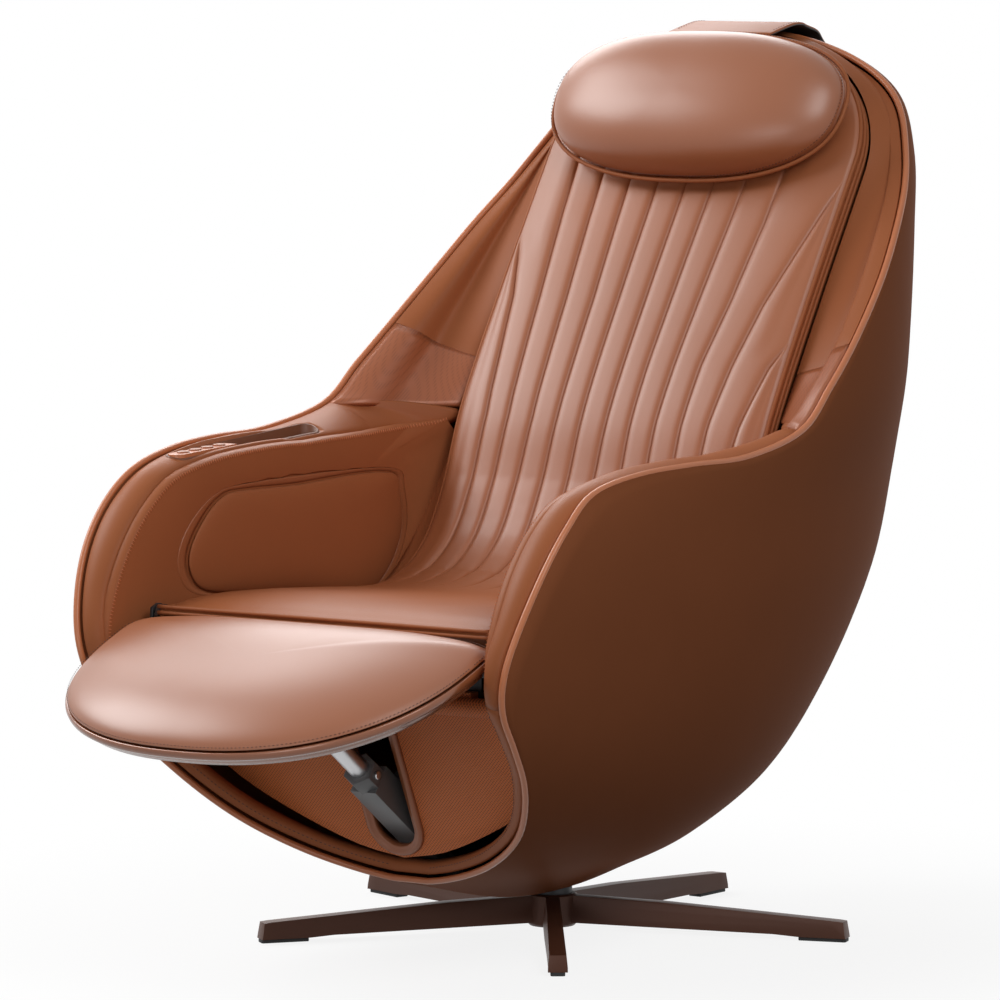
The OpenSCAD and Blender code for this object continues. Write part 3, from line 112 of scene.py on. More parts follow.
class ChairSizes(bpy.types.PropertyGroup):
    shell_width: length("Shell width", "Width across the arms", 0.714)
    shell_depth: length("Shell depth", "Depth from arm fronts to back", 1.1)
    shell_height: length("Shell height", "Underside to top", 1.02)
    shell_floor: length("Shell above floor", "Height of its underside", 0.046)
    wall: length("Wall", "Thickness of the shell's wall", 0.007)
    groove: length("Groove", "Gap inside the shell's lip", 0.003)
    liner: length("Liner", "Thickness of the arm and wing pads", 0.014)
    pad_width: length("Cushion width", "Width of seat and back", 0.448)
    pad_thick: length("Cushion thickness", "Depth of seat and back", 0.042)
    channel: length("Channel depth", "Depth of the sewn channels", 0.0032)
    piping: length("Piping radius", "Radius of the piped edges", 0.0026)
    stitch: length("Stitch length", "Length of one stitch", 0.0034)
    stitch_pitch: length("Stitch pitch", "Distance between stitches", 0.0056)
    pillow_width: length("Pillow width", "Width of the headrest pillow", 0.424)
    pillow_height: length("Pillow height", "Height of the pillow", 0.2)
    pillow_thick: length("Pillow thickness", "Thickness of the pillow", 0.092)
    rest_slope: FloatProperty(name="Leg rest slope", description="Slope below level",
                              default=math.radians(22),
                              subtype="ANGLE", unit="ROTATION")
    columns: IntProperty(name="Shell columns", description="Columns on each half of the shell",
                         default=44, min=12)


def colour(label, text, r, g, b):
    return FloatVectorProperty(name=label, description=text, subtype="COLOR", size=3, min=0, max=1,
                               default=(r, g, b))


class ChairColours(bpy.types.PropertyGroup):
    leather: colour("Leather", "Upholstery inside the shell", 0.350, 0.112, 0.043)
    # The shell's leather is the inside leather darkened: painted shade for the shell's less-lit outside.
    shell: colour("Shaded shell leather", "Covering of the shell's outside", 0.235, 0.076, 0.031)
    mesh: colour("Mesh", "Satin mesh beside the shoulders", 0.36, 0.108, 0.042)
    fabric: colour("Front fabric", "Perforated panel under the seat", 0.74, 0.205, 0.060)
    paint: colour("Base paint", "Star base", 0.085, 0.030, 0.016)
    thread: colour("Thread", "Stitches", 0.075, 0.024, 0.012)
    graphite: colour("Graphite", "Dark plastic", 0.035, 0.036, 0.038)
    silver: colour("Silver", "Bare and anodised metal", 0.55, 0.55, 0.56)


def sizes():
    return bpy.context.scene.chair_sizes


def colours():
    return bpy.context.scene.chair_colours


# ---------- curves and meshes ----------
def spline(a, b, c, d, t):
    return 0.5 * (2 * b + (c - a) * t + (2 * a - 5 * b + 4 * c - d) * t * t + (3 * b - a - 3 * c + d) * t**3)


def smooth(points, steps, before=None, after=None):
    p = np.array(points, float)
    q = np.vstack([2 * p[0] - p[1] if before is None else before, p, 2 * p[-1] - p[-2]
                   if after is None else after])
    inner = [spline(q[i - 1], q[i], q[i + 1], q[i + 2], k / steps) for i in range(1, len(p))
             for k in range(steps)]
    return np.array(inner + [p[-1]])


def smooth_closed(points, steps):
    p, n = np.array(points, float), len(points)
    return np.array([spline(p[i - 1], p[i], p[(i + 1) % n], p[(i + 2) % n], k / steps)
                     for i in range(n) for k in range(steps)])


def unit(v):
    v = np.asarray(v, float)
    return v / np.maximum(np.linalg.norm(v, axis=-1, keepdims=True), 1e-12)


def run_of(p):
    return np.concatenate([[0], np.cumsum(np.linalg.norm(np.diff(p, axis=0), axis=1))])


def superellipse(a, b, power, count):
    t = np.arange(count) * 2 * math.pi / count
    c, s = np.cos(t), np.sin(t)
    return np.stack([a * np.sign(c) * np.abs(c) ** (2 / power), b * np.sign(s) * np.abs(s) ** (2 / power)], 1)


def piece(name, verts, faces, material, sharp=False):
    mesh = bpy.data.meshes.new(name)
    mesh.from_pydata(np.asarray(verts).reshape(-1, 3).tolist(), [], faces)
    work = bmesh.new()
    work.from_mesh(mesh)
    bmesh.ops.remove_doubles(work, verts=work.verts, dist=1e-6)
    bmesh.ops.recalc_face_normals(work, faces=work.faces)
    work.to_mesh(mesh)
    work.free()
    mesh.polygons.foreach_set("use_smooth", [not sharp] * len(mesh.polygons))
    made = bpy.data.objects.new(name, mesh)
    bpy.context.scene.collection.objects.link(made)
    if material:
        mesh.materials.append(material)
    return made


def grid_faces(rows, cols, start=0, wrap=False):
    return [(start + i * cols + j, start + i * cols + (j + 1) % cols,
             start + (i + 1) * cols + (j + 1) % cols, start + (i + 1) * cols + j)
            for i in range(rows - 1) for j in range(cols if wrap else cols - 1)]


def slab(name, front, back, material):
    """A closed sheet with thickness between two grids of points."""
    r, c = front.shape[:2]
    n = r * c
    edge = ([j for j in range(c - 1)] + [i * c + c - 1 for i in range(r - 1)]
            + [(r - 1) * c + j for j in range(c - 1, 0, -1)] + [i * c for i in range(r - 1, 0, -1)])
    faces = grid_faces(r, c) + [f[::-1] for f in grid_faces(r, c, n)]
    faces += [(edge[(k + 1) % len(edge)], edge[k], edge[k] + n, edge[(k + 1) % len(edge)] + n)
              for k in range(len(edge))]
    return piece(name, np.concatenate([front.reshape(-1, 3), back.reshape(-1, 3)]), faces, material)


def loft(name, rings, material, closed=False, caps=True):
    """A skin through rings of points; its ends are closed unless it joins up with itself."""
    n, c = rings.shape[:2]
    faces = grid_faces(n, c, wrap=True)
    if closed:
        faces += [((n - 1) * c + j, (n - 1) * c + (j + 1) % c, (j + 1) % c, j) for j in range(c)]
    elif caps:
        faces += [tuple(range(c))[::-1], tuple((n - 1) * c + j for j in range(c))]
    return piece(name, rings, faces, material)


def tube(name, path, radius, material, sides=10, closed=False):
    """Piping: a round cord of one radius along a path."""
    p = np.asarray(path, float)
    nxt, prv = np.roll(p, -1, 0), np.roll(p, 1, 0)
    if not closed:
        nxt[-1], prv[0] = p[-1], p[0]
    tangent = unit(nxt - prv)
    normal = unit(np.cross(tangent[0], (0.3, 0.5, 0.81)))
    rings = []
    for k, t in enumerate(tangent):
        normal = unit(normal - t * (normal @ t))
        side = np.cross(t, normal)
        a = np.arange(sides) * 2 * math.pi / sides
        rings.append(p[k] + radius * (np.outer(np.cos(a), normal) + np.outer(np.sin(a), side)))
    return loft(name, np.array(rings), material, closed)


def settle(made):
    """Applies the modifiers and drops them."""
    plain = bpy.data.meshes.new_from_object(made.evaluated_get(bpy.context.evaluated_depsgraph_get()))
    made.modifiers.clear()
    old, made.data = made.data, plain
    bpy.data.meshes.remove(old)
    return made


def rounded(made, width, segments=3, angle=40, smooth_angle=None):
    bevel = made.modifiers.new("Bevel", "BEVEL")
    bevel.width, bevel.segments = width, segments
    bevel.limit_method, bevel.angle_limit = "ANGLE", math.radians(angle)
    bevel.harden_normals = False
    settle(made)
    if smooth_angle:
        made.data.set_sharp_from_angle(angle=math.radians(smooth_angle))
    return made


def subdivided(made, levels=1):
    sub = made.modifiers.new("Subdivision", "SUBSURF")
    sub.levels = sub.render_levels = levels
    return settle(made)


def cut(made, cutter):
    boolean = made.modifiers.new("Cut", "BOOLEAN")
    boolean.operation, boolean.solver, boolean.object = "DIFFERENCE", "EXACT", cutter
    settle(made)
    bpy.data.objects.remove(cutter)
    if not made.data.polygons:
        raise RuntimeError(f"nothing is left of {made.name} after its cut")
    return made


def block(name, low, high, place=None):
    x, y, z = zip(low, high)
    verts = np.array([(a, b, c) for a in x for b in y for c in z])
    faces = [(0, 1, 3, 2), (4, 6, 7, 5), (0, 4, 5, 1), (2, 3, 7, 6), (0, 2, 6, 4), (1, 5, 7, 3)]
    return piece(name, verts if place is None else place(verts), faces, None, sharp=True)


def mirrored(made, name):
    """A copy on the chair's other side."""
    twin = made.copy()
    twin.data = made.data.copy()
    twin.name = twin.data.name = name
    bpy.context.scene.collection.objects.link(twin)
    work = bmesh.new()
    work.from_mesh(twin.data)
    for v in work.verts:
        v.co.x = -v.co.x
    bmesh.ops.reverse_faces(work, faces=work.faces)
    work.to_mesh(twin.data)
    work.free()
    return twin


def eased(node, name, width, material, segments=2, angle=35):
    """A copy of a frame node with its corners eased, which stands for it."""
    source = frame["nodes"][node]
    mesh = source.data.copy()
    mesh.name = name
    work = bmesh.new()
    work.from_mesh(mesh)
    bmesh.ops.remove_doubles(work, verts=work.verts, dist=1e-5)
    bmesh.ops.dissolve_limit(work, angle_limit=math.radians(1), verts=work.verts, edges=work.edges)
    work.to_mesh(mesh)
    work.free()
    mesh.materials.clear()
    mesh.materials.append(material)
    mesh.polygons.foreach_set("use_smooth", [True] * len(mesh.polygons))
    made = bpy.data.objects.new(name, mesh)
    bpy.context.scene.collection.objects.link(made)
    rounded(made, width, segments, angle, 38)
    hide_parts(node)
    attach(made, body_of_node(node))
    return made


def body_of_node(node):
    for name, members in frame["record"]["behaviour"]["bodies"].items():
        if node in members:
            return name
    raise ValueError(f"no body holds {node}")


def dress(made, node):
    """Puts a finished piece in the place of its frame node."""
    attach(made, body_of_node(node))
    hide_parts(node)
    return made


def trim(made, body):
    """A finished piece that rides on a body and replaces nothing."""
    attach(made, body)
    return made


CLOTH_FRAMES = 20               # how long the cloth is left to swell


def evened(mesh, values, rounds):
    """Each vertex's value averaged with its neighbours', several times over."""
    pairs = np.empty(len(mesh.edges) * 2, int)
    mesh.edges.foreach_get("vertices", pairs)
    a, b = pairs.reshape(-1, 2).T
    count = len(mesh.vertices)
    share = 0.5 / np.maximum(1, np.bincount(pairs, minlength=count))[:, None]
    for _ in range(rounds):
        near = [np.bincount(a, values[b, k], count) + np.bincount(b, values[a, k], count) for k in range(3)]
        values = values * 0.5 + np.stack(near, 1) * share
    return values


def inflate(made, pressure, cap, pinned=None, even=60):
    """Lets cloth under pressure swell the piece, within a cap, without its puckers."""
    count = len(made.data.vertices)
    start = np.empty(count * 3)
    made.data.vertices.foreach_get("co", start)
    start = start.reshape(-1, 3)
    cloth = made.modifiers.new("Cloth", "CLOTH")
    how = cloth.settings
    how.quality, how.mass = 5, 0.3
    how.tension_stiffness = how.compression_stiffness = 15
    how.shear_stiffness, how.bending_stiffness = 5, 0.5
    how.use_pressure, how.uniform_pressure_force = True, pressure
    how.effector_weights.gravity = 0
    cloth.collision_settings.use_collision = False
    cloth.point_cache.frame_start, cloth.point_cache.frame_end = 1, CLOTH_FRAMES
    if pinned is not None:
        hold = made.vertex_groups.new(name="sewn")
        hold.add([int(i) for i in np.flatnonzero(pinned(start))], 1.0, "REPLACE")
        how.vertex_group_mass = "sewn"
    for step in range(1, CLOTH_FRAMES + 1):
        bpy.context.scene.frame_set(step)
    ready = made.evaluated_get(bpy.context.evaluated_depsgraph_get())
    end = np.empty(count * 3)
    ready.data.vertices.foreach_get("co", end)
    made.modifiers.clear()
    made.vertex_groups.clear()
    move = end.reshape(-1, 3) - start
    far = np.linalg.norm(move, axis=1, keepdims=True)
    move *= np.minimum(1, cap / np.maximum(far, 1e-9))
    free = 1.0 if pinned is None else 1.0 - pinned(start)[:, None]
    made.data.vertices.foreach_set("co", (start + evened(made.data, move, even) * free).ravel())
    made.data.update()
    bpy.context.scene.frame_set(1)
    return made


# ---------- the egg ----------
HALF_WIDTH, CENTRE, HALF_DEPTH = 1, 2, 3        # columns of the egg's level sections


class Egg:
    """The shell's surface and its open edge."""

    def __init__(self, s):
        self.s = s
        p = np.array([(s.shell_floor + a * s.shell_height, b * s.shell_width / 2, c * s.shell_depth,
                       d * s.shell_depth)
                      for a, b, c, d in EGG_SECTIONS])
        turn = np.array([1, -1, 1, -1])
        self.rows = smooth(p, 12, p[1] * turn, p[-2] * turn)
        z = self.rows[:, 0]
        foot_z = s.shell_floor + RIM_FOOT * s.shell_height
        foot = (self.level(foot_z, CENTRE) - self.level(foot_z, HALF_DEPTH), foot_z)
        line = [(a * s.shell_depth, s.shell_floor + b * s.shell_height) for a, b in RIM_LINE]
        self.side = smooth(line + [foot], STEPS)
        low = (z > s.shell_floor) & (z < foot_z)
        back = np.concatenate([np.stack([self.rows[::-1, 2] + self.rows[::-1, 3], z[::-1]], 1),
                               np.stack([self.rows[low, 2] - self.rows[low, 3], z[low]], 1), [foot]])
        share = run_of(self.side) / run_of(self.side)[-1] * run_of(back)[-1]
        self.back = np.stack([np.interp(share, run_of(back), back[:, k]) for k in (0, 1)], 1)
        self.count = len(self.side) - 2
        self.rim = np.stack([self.x(self.side[:, 0], self.side[:, 1]), self.side[:, 0], self.side[:, 1]], 1)
        self.tangent = np.zeros_like(self.rim)
        self.tangent[1:-1] = unit(self.rim[2:] - self.rim[:-2])

    def level(self, z, column):
        """One measure of the level section at a height."""
        return np.interp(z, self.rows[:, 0], self.rows[:, column])

    def rear(self, z):
        """Depth of the shell's back at a height."""
        return self.level(z, CENTRE) + self.level(z, HALF_DEPTH)

    def square(self, y, z):
        """The half width's square, which falls below zero outside the egg."""
        a = self.level(z, HALF_WIDTH)
        u = (y - self.level(z, CENTRE)) / np.maximum(self.level(z, HALF_DEPTH), 0.001)
        return a * a * (1 - u * u)

    def x(self, y, z):
        return np.sqrt(np.maximum(0, self.square(y, z)))

    def normal(self, p):
        p = np.asarray(p, float)
        a = self.level(p[..., 2], HALF_WIDTH)
        length = np.maximum(self.level(p[..., 2], HALF_DEPTH), 0.001)
        centre = self.level(p[..., 2], CENTRE)
        step = 0.002
        above, below = (self.square(p[..., 1], p[..., 2] + d) for d in (step, -step))
        slope = (above - below) / (4 * step)
        return unit(np.stack([p[..., 0], a * a * (p[..., 1] - centre) / length**2, -slope], -1))

    def sunk(self, p, depth):
        return p - depth * self.normal(p)

    def start(self, i):
        """Where the padding starts inside the lip, for a rim row."""
        return self.sunk(self.rim[i], self.s.wall + self.s.groove)

    def inward(self, i):
        """The way from the lip across the padding: level on the arms, towards the seat lower down."""
        p, t = self.rim[i], self.tangent[i]
        blend = np.clip((0.40 - p[2]) / 0.10, 0, 1)
        level = unit(np.array((-p[0], 0, 0)))
        v = np.array((0, -0.430, 0.350)) - p
        low = unit(v - t * (v @ t))
        return unit(level * (1 - blend) + low * blend)

    def front(self, i):
        return unit(np.cross(self.inward(i), self.tangent[i]))


def egg():
    return Egg(sizes())


class Pad:
    """The seat and back cushion's face."""

    def __init__(self, s):
        self.s = s
        self.line = smooth(PAD_LINE, 12)
        self.run = run_of(self.line)
        self.total = self.run[-1]
        self.arch = 0.175
        self.up = unit(np.array((0.278, 0.873)) - np.array((0.150, 0.670)))

    def point(self, s):
        return np.stack([np.interp(s, self.run, self.line[:, k]) for k in (0, 1)], -1)

    def normal(self, s):
        t = unit(self.point(np.minimum(s + 0.008, self.total)) - self.point(np.maximum(s - 0.008, 0)))
        return np.stack([-t[..., 1], t[..., 0]], -1)

    def half_width(self, s):
        q = np.maximum(0, 1 - (self.total - s) / self.arch)
        flare = 0.012 * np.maximum(0, 1 - s / 0.42)
        return (self.s.pad_width / 2 + flare) * np.sqrt(np.maximum(0.004, 1 - q * q))

    def at_height(self, z):
        return self.run[self.line[:, 1] < z].max()

    def place(self, x, s, lift):
        c, n = self.point(s), self.normal(s)
        return np.stack(np.broadcast_arrays(x, c[..., 0] + n[..., 0] * lift,
                                            c[..., 1] + n[..., 1] * lift), -1)


def pad():
    return Pad(sizes())


# ---------- materials ----------
def new_material(name, base, rough, metallic=0.0, **sockets):
    made = bpy.data.materials.new(name)
    made.use_nodes = True
    shader = made.node_tree.nodes["Principled BSDF"]
    shader.inputs["Base Color"].default_value = (*base, 1)
    shader.inputs["Roughness"].default_value = rough
    shader.inputs["Metallic"].default_value = metallic
    for key, value in sockets.items():
        shader.inputs[key.replace("_", " ")].default_value = value
    return made, made.node_tree, shader


def linked(tree, kind, **values):
    made = tree.nodes.new(kind)
    for key, value in values.items():
        if key in made.bl_rna.properties:
            setattr(made, key, value)
        else:
            made.inputs[key.replace("_", " ")].default_value = value
    return made


def ramp(tree, source, low, high, first, last):
    """An eased step from one value to another, as its source climbs from low to high."""
    made = linked(tree, "ShaderNodeMapRange", interpolation_type="SMOOTHSTEP",
                  From_Min=low, From_Max=high, To_Min=first, To_Max=last)
    tree.links.new(source, made.inputs["Value"])
    return made.outputs["Result"]


def bumped(tree, shader, height, strength, distance):
    """Raises a surface by the height of a pattern."""
    bump = linked(tree, "ShaderNodeBump", Strength=strength, Distance=distance)
    tree.links.new(height, bump.inputs["Height"])
    tree.links.new(bump.outputs["Normal"], shader.inputs["Normal"])


def shade(base, share):
    """A lighter or darker mix of a colour."""
    return [min(1, v * share) for v in base]


def tone(tree, shader, coords, base, spread, scale=4.0):
    """Slow variation of a colour over the piece, round its base."""
    cloud = linked(tree, "ShaderNodeTexNoise", Scale=scale, Detail=3.0, Roughness=0.55)
    tree.links.new(coords, cloud.inputs["Vector"])
    mix = linked(tree, "ShaderNodeMix", data_type="RGBA")
    mix.inputs["A"].default_value = (*shade(base, 1 - spread), 1)
    mix.inputs["B"].default_value = (*shade(base, 1 + spread), 1)
    tree.links.new(cloud.outputs["Fac"], mix.inputs["Factor"])
    tree.links.new(mix.outputs["Result"], shader.inputs["Base Color"])
    return mix


DULL_FRONT, DULL_SHINE = (-0.14, 0.04), 0.05    # depths where the seat's dull front ends, and its shine


def leather(name, base, rough=0.42, grain=620.0, relief=0.10, pebbles=None, shine=0.2, coat=0.0):
    """Semi-gloss leather: a fine pebbled grain, faint creases and a slow drift of colour."""
    made, tree, shader = new_material(name, base, rough, Specular_IOR_Level=shine, Coat_Weight=coat,
                                      Coat_Roughness=0.35)
    place = linked(tree, "ShaderNodeTexCoord").outputs["Object"]
    tone(tree, shader, place, base, 0.10)
    cells = linked(tree, "ShaderNodeTexVoronoi", feature="DISTANCE_TO_EDGE", Scale=grain)
    crease = linked(tree, "ShaderNodeTexNoise", Scale=90.0, Detail=4.0, Roughness=0.6)
    tree.links.new(place, cells.inputs["Vector"])
    tree.links.new(place, crease.inputs["Vector"])
    height = linked(tree, "ShaderNodeMath", operation="MULTIPLY_ADD")
    height.inputs[1].default_value = 0.35
    tree.links.new(crease.outputs["Fac"], height.inputs[0])
    tree.links.new(cells.outputs["Distance"], height.inputs[2])
    out = height.outputs[0]
    if pebbles:
        spot = linked(tree, "ShaderNodeTexVoronoi", feature="F1", Scale=pebbles[0])
        tree.links.new(place, spot.inputs["Vector"])
        where = linked(tree, "ShaderNodeSeparateXYZ")
        tree.links.new(place, where.inputs[0])
        mask = ramp(tree, where.outputs["Y"], pebbles[1], pebbles[2], 1.0, 0.0)
        add = linked(tree, "ShaderNodeMath", operation="MULTIPLY")
        tree.links.new(spot.outputs["Distance"], add.inputs[0])
        tree.links.new(mask, add.inputs[1])
        total = linked(tree, "ShaderNodeMath", operation="MULTIPLY_ADD")
        total.inputs[1].default_value = -2.2
        tree.links.new(add.outputs[0], total.inputs[0])
        tree.links.new(out, total.inputs[2])
        out = total.outputs[0]
        dull = ramp(tree, where.outputs["Y"], *DULL_FRONT, DULL_SHINE, shine)
        tree.links.new(dull, shader.inputs["Specular IOR Level"])
    bumped(tree, shader, out, relief, 0.0006)
    return made


def woven(name, base, painted_shade, pitch, rough, metallic, turn=(0, 0, 0), holes=0.30, relief=0.5):
    """Cloth with rows of small holes, in the plane that turn lays flat."""
    made, tree, shader = new_material(name, base, rough, metallic, Specular_IOR_Level=0.45)
    place = linked(tree, "ShaderNodeTexCoord").outputs["Object"]
    lay = linked(tree, "ShaderNodeMapping")
    lay.inputs["Rotation"].default_value = turn
    tree.links.new(place, lay.inputs["Vector"])
    flat = linked(tree, "ShaderNodeVectorMath", operation="MULTIPLY")
    flat.inputs[1].default_value = (1, 1, 0)
    tree.links.new(lay.outputs[0], flat.inputs[0])
    dots = linked(tree, "ShaderNodeTexVoronoi", feature="F1", voronoi_dimensions="2D",
                  Scale=1 / pitch, Randomness=0.0)
    tree.links.new(flat.outputs[0], dots.inputs["Vector"])
    edge = ramp(tree, dots.outputs["Distance"], holes * 0.7, holes * 1.5, 0.0, 1.0)
    paint = tone(tree, shader, place, base, 0.08, 6.0)
    mix = linked(tree, "ShaderNodeMix", data_type="RGBA")
    # The holes take a darker colour: painted shade inside the perforations.
    mix.inputs["A"].default_value = (*painted_shade, 1)
    tree.links.new(edge, mix.inputs["Factor"])
    tree.links.new(paint.outputs["Result"], mix.inputs["B"])
    tree.links.new(mix.outputs["Result"], shader.inputs["Base Color"])
    bumped(tree, shader, edge, relief, 0.0005)
    return made


def moulded(name, base, rough=0.45, metallic=0.0, grain=700.0, relief=0.05, spread=0.06, **sockets):
    """Moulded plastic, paint or metal with a fine surface."""
    made, tree, shader = new_material(name, base, rough, metallic, **sockets)
    place = linked(tree, "ShaderNodeTexCoord").outputs["Object"]
    tone(tree, shader, place, base, spread, 9.0)
    peel = linked(tree, "ShaderNodeTexNoise", Scale=grain, Detail=2.0)
    tree.links.new(place, peel.inputs["Vector"])
    bumped(tree, shader, peel.outputs["Fac"], relief, 0.0004)
    return made


def brushed(name, base, rough=0.3, along=(400.0, 6.0, 6.0)):
    """Metal with fine lines along one axis."""
    made, tree, shader = new_material(name, base, rough, 1.0)
    place = linked(tree, "ShaderNodeTexCoord").outputs["Object"]
    lay = linked(tree, "ShaderNodeMapping")
    lay.inputs["Scale"].default_value = along
    tree.links.new(place, lay.inputs["Vector"])
    lines = linked(tree, "ShaderNodeTexNoise", Scale=3.0, Detail=3.0)
    tree.links.new(lay.outputs[0], lines.inputs["Vector"])
    span = linked(tree, "ShaderNodeMapRange")
    span.inputs["To Min"].default_value, span.inputs["To Max"].default_value = rough * 0.8, rough * 1.3
    tree.links.new(lines.outputs["Fac"], span.inputs["Value"])
    tree.links.new(span.outputs["Result"], shader.inputs["Roughness"])
    bumped(tree, shader, lines.outputs["Fac"], 0.08, 0.0002)
    return made


FINISHES = {}


def finish_of(name):
    """Each finish is made once, when a piece first asks for it."""
    if name in FINISHES:
        return FINISHES[name]
    c = colours()
    recipes = {
        "leather": lambda: leather("Side leather", c.leather, 0.45, shine=0.13),
        "soft_leather": lambda: leather("Soft leather", c.leather, 0.38, shine=0.70, coat=0.10),
        "seat_leather": lambda: leather("Seat leather", c.leather, pebbles=(330.0, -0.30, -0.10),
                                        shine=0.55, coat=0.08),
        # Painted shade: the shell's outside is the same leather, darkened where it gets less light.
        "shaded_shell_leather": lambda: leather("Shaded shell leather", c.shell, 0.6, relief=0.05, shine=0.02),
        # The lip's leather is the leather painted lighter: painted light on the rounded lip that faces the
        # lamps.
        "lit_lip_leather": lambda: leather("Lit lip leather", shade(c.leather, 1.6), 0.36, shine=0.5),
        # The mesh, fabric and webbing holes are painted darker, as painted shade.
        "mesh": lambda: woven("Satin mesh", c.mesh, shade(c.mesh, 0.8), 0.0030, 0.36, 0.10,
                              (math.radians(58), 0, math.radians(45)), 0.22, 0.03),
        "fabric": lambda: woven("Perforated fabric", c.fabric, shade(c.fabric, 0.42), 0.0030, 0.6, 0.0,
                                (math.radians(-113.9), 0, math.radians(45)), 0.27, 0.6),
        "strap": lambda: woven("Webbing", shade(c.shell, 0.8), shade(c.shell, 0.3), 0.0012, 0.6, 0.0,
                               (0, 0, 0), 0.3, 0.4),
        "thread": lambda: moulded("Thread", c.thread, 0.6, grain=2500.0, relief=0.3),
        "pale_thread": lambda: moulded("Pale thread", shade(c.leather, 1.7), 0.6, grain=2500.0, relief=0.3),
        "painted_shade": lambda: moulded("Shadow lining", shade(c.shell, 0.12), 0.75),
        "paint": lambda: moulded("Base paint", c.paint, 0.42, 0.1, 900.0, 0.04, Specular_IOR_Level=0.25),
        "tray": lambda: moulded("Tray lacquer", shade(c.leather, 0.85), 0.26, 0.1, 500.0, 0.03,
                                Coat_Weight=0.3),
        "trim": lambda: moulded("Moulded trim", c.leather, 0.36, grain=800.0, relief=0.08),
        # The recess lining is the leather darkened: painted shade inside the control recess.
        "hollow": lambda: moulded("Shaded recess lining", shade(c.leather, 0.45), 0.5, relief=0.05),
        "control": lambda: moulded("Control strip", shade(c.leather, 1.5), 0.35, relief=0.03),
        "graphite": lambda: moulded("Graphite plastic", c.graphite, 0.42, grain=900.0, relief=0.10),
        "grey": lambda: moulded("Grey housing", (0.16, 0.165, 0.17), 0.42, grain=900.0, relief=0.08),
        "rubber": lambda: moulded("Rubber", (0.018, 0.018, 0.018), 0.75, grain=500.0, relief=0.25),
        "ivory": lambda: moulded("Ivory polymer", (0.55, 0.50, 0.40), 0.5),
        "red": lambda: moulded("Red rocker", (0.35, 0.02, 0.015), 0.3),
        "steel": lambda: moulded("Black steel", (0.03, 0.03, 0.032), 0.45, 0.6, 600.0, 0.1),
        "zinc": lambda: brushed("Zinc plate", c.silver, 0.32),
        "silver": lambda: brushed("Anodised tube", c.silver, 0.34, (6.0, 6.0, 400.0)),
    }
    FINISHES[name] = recipes[name]()
    return FINISHES[name]


# ---------- geometry nodes ----------
def stitch_tree():
    """Nodes that sew a row of stitches along a chain of edges."""
    if "Stitches" in bpy.data.node_groups:
        return bpy.data.node_groups["Stitches"]
    tree = bpy.data.node_groups.new("Stitches", "GeometryNodeTree")
    face = tree.interface
    face.new_socket("Geometry", in_out="INPUT", socket_type="NodeSocketGeometry")
    for label, default in (("Pitch", 0.0056), ("Length", 0.0034), ("Radius", 0.0006), ("Lean", 0.0)):
        face.new_socket(label, in_out="INPUT", socket_type="NodeSocketFloat").default_value = default
    face.new_socket("Material", in_out="INPUT", socket_type="NodeSocketMaterial")
    face.new_socket("Geometry", in_out="OUTPUT", socket_type="NodeSocketGeometry")
    start, end = tree.nodes.new("NodeGroupInput"), tree.nodes.new("NodeGroupOutput")
    curve = tree.nodes.new("GeometryNodeMeshToCurve")
    evenly = tree.nodes.new("GeometryNodeResampleCurve")
    evenly.mode = "LENGTH"
    thread = tree.nodes.new("GeometryNodeMeshUVSphere")
    thread.inputs["Segments"].default_value, thread.inputs["Rings"].default_value = 6, 4
    thread.inputs["Radius"].default_value = 1.0
    half = linked(tree, "ShaderNodeMath", operation="MULTIPLY")
    half.inputs[1].default_value = 0.5
    shape = tree.nodes.new("ShaderNodeCombineXYZ")
    tangent = tree.nodes.new("GeometryNodeInputTangent")
    across = linked(tree, "ShaderNodeVectorMath", operation="CROSS_PRODUCT")
    across.inputs[1].default_value = (1, 0, 0)
    side = tree.nodes.new("ShaderNodeCombineXYZ")
    tilted = linked(tree, "ShaderNodeVectorMath", operation="ADD")
    leans = tree.nodes.new("FunctionNodeCompare")
    leans.operation = "NOT_EQUAL"
    leans.inputs["Epsilon"].default_value = 0.01
    way = tree.nodes.new("GeometryNodeSwitch")
    way.input_type = "VECTOR"
    turn = tree.nodes.new("FunctionNodeAlignRotationToVector")
    turn.axis = "Z"
    spread = tree.nodes.new("GeometryNodeInstanceOnPoints")
    plain = tree.nodes.new("GeometryNodeRealizeInstances")
    paint = tree.nodes.new("GeometryNodeSetMaterial")
    soft = tree.nodes.new("GeometryNodeSetShadeSmooth")
    link = tree.links.new
    link(start.outputs["Geometry"], curve.inputs["Mesh"])
    link(curve.outputs["Curve"], evenly.inputs["Curve"])
    link(start.outputs["Pitch"], evenly.inputs["Length"])
    link(start.outputs["Length"], half.inputs[0])
    link(start.outputs["Radius"], shape.inputs["X"])
    link(start.outputs["Radius"], shape.inputs["Y"])
    link(half.outputs[0], shape.inputs["Z"])
    link(tangent.outputs[0], across.inputs[0])
    link(start.outputs["Lean"], side.inputs["X"])
    link(across.outputs[0], tilted.inputs[0])
    link(side.outputs[0], tilted.inputs[1])
    link(start.outputs["Lean"], leans.inputs["A"])
    link(leans.outputs[0], way.inputs["Switch"])
    link(tangent.outputs[0], way.inputs["False"])
    link(tilted.outputs[0], way.inputs["True"])
    link(way.outputs[0], turn.inputs["Vector"])
    link(evenly.outputs["Curve"], spread.inputs["Points"])
    link(thread.outputs["Mesh"], spread.inputs["Instance"])
    link(turn.outputs["Rotation"], spread.inputs["Rotation"])
    link(shape.outputs[0], spread.inputs["Scale"])
    link(spread.outputs["Instances"], plain.inputs["Geometry"])
    link(plain.outputs[0], soft.inputs["Geometry"])
    link(soft.outputs[0], paint.inputs["Geometry"])
    link(start.outputs["Material"], paint.inputs["Material"])
    link(paint.outputs[0], end.inputs["Geometry"])
    return tree


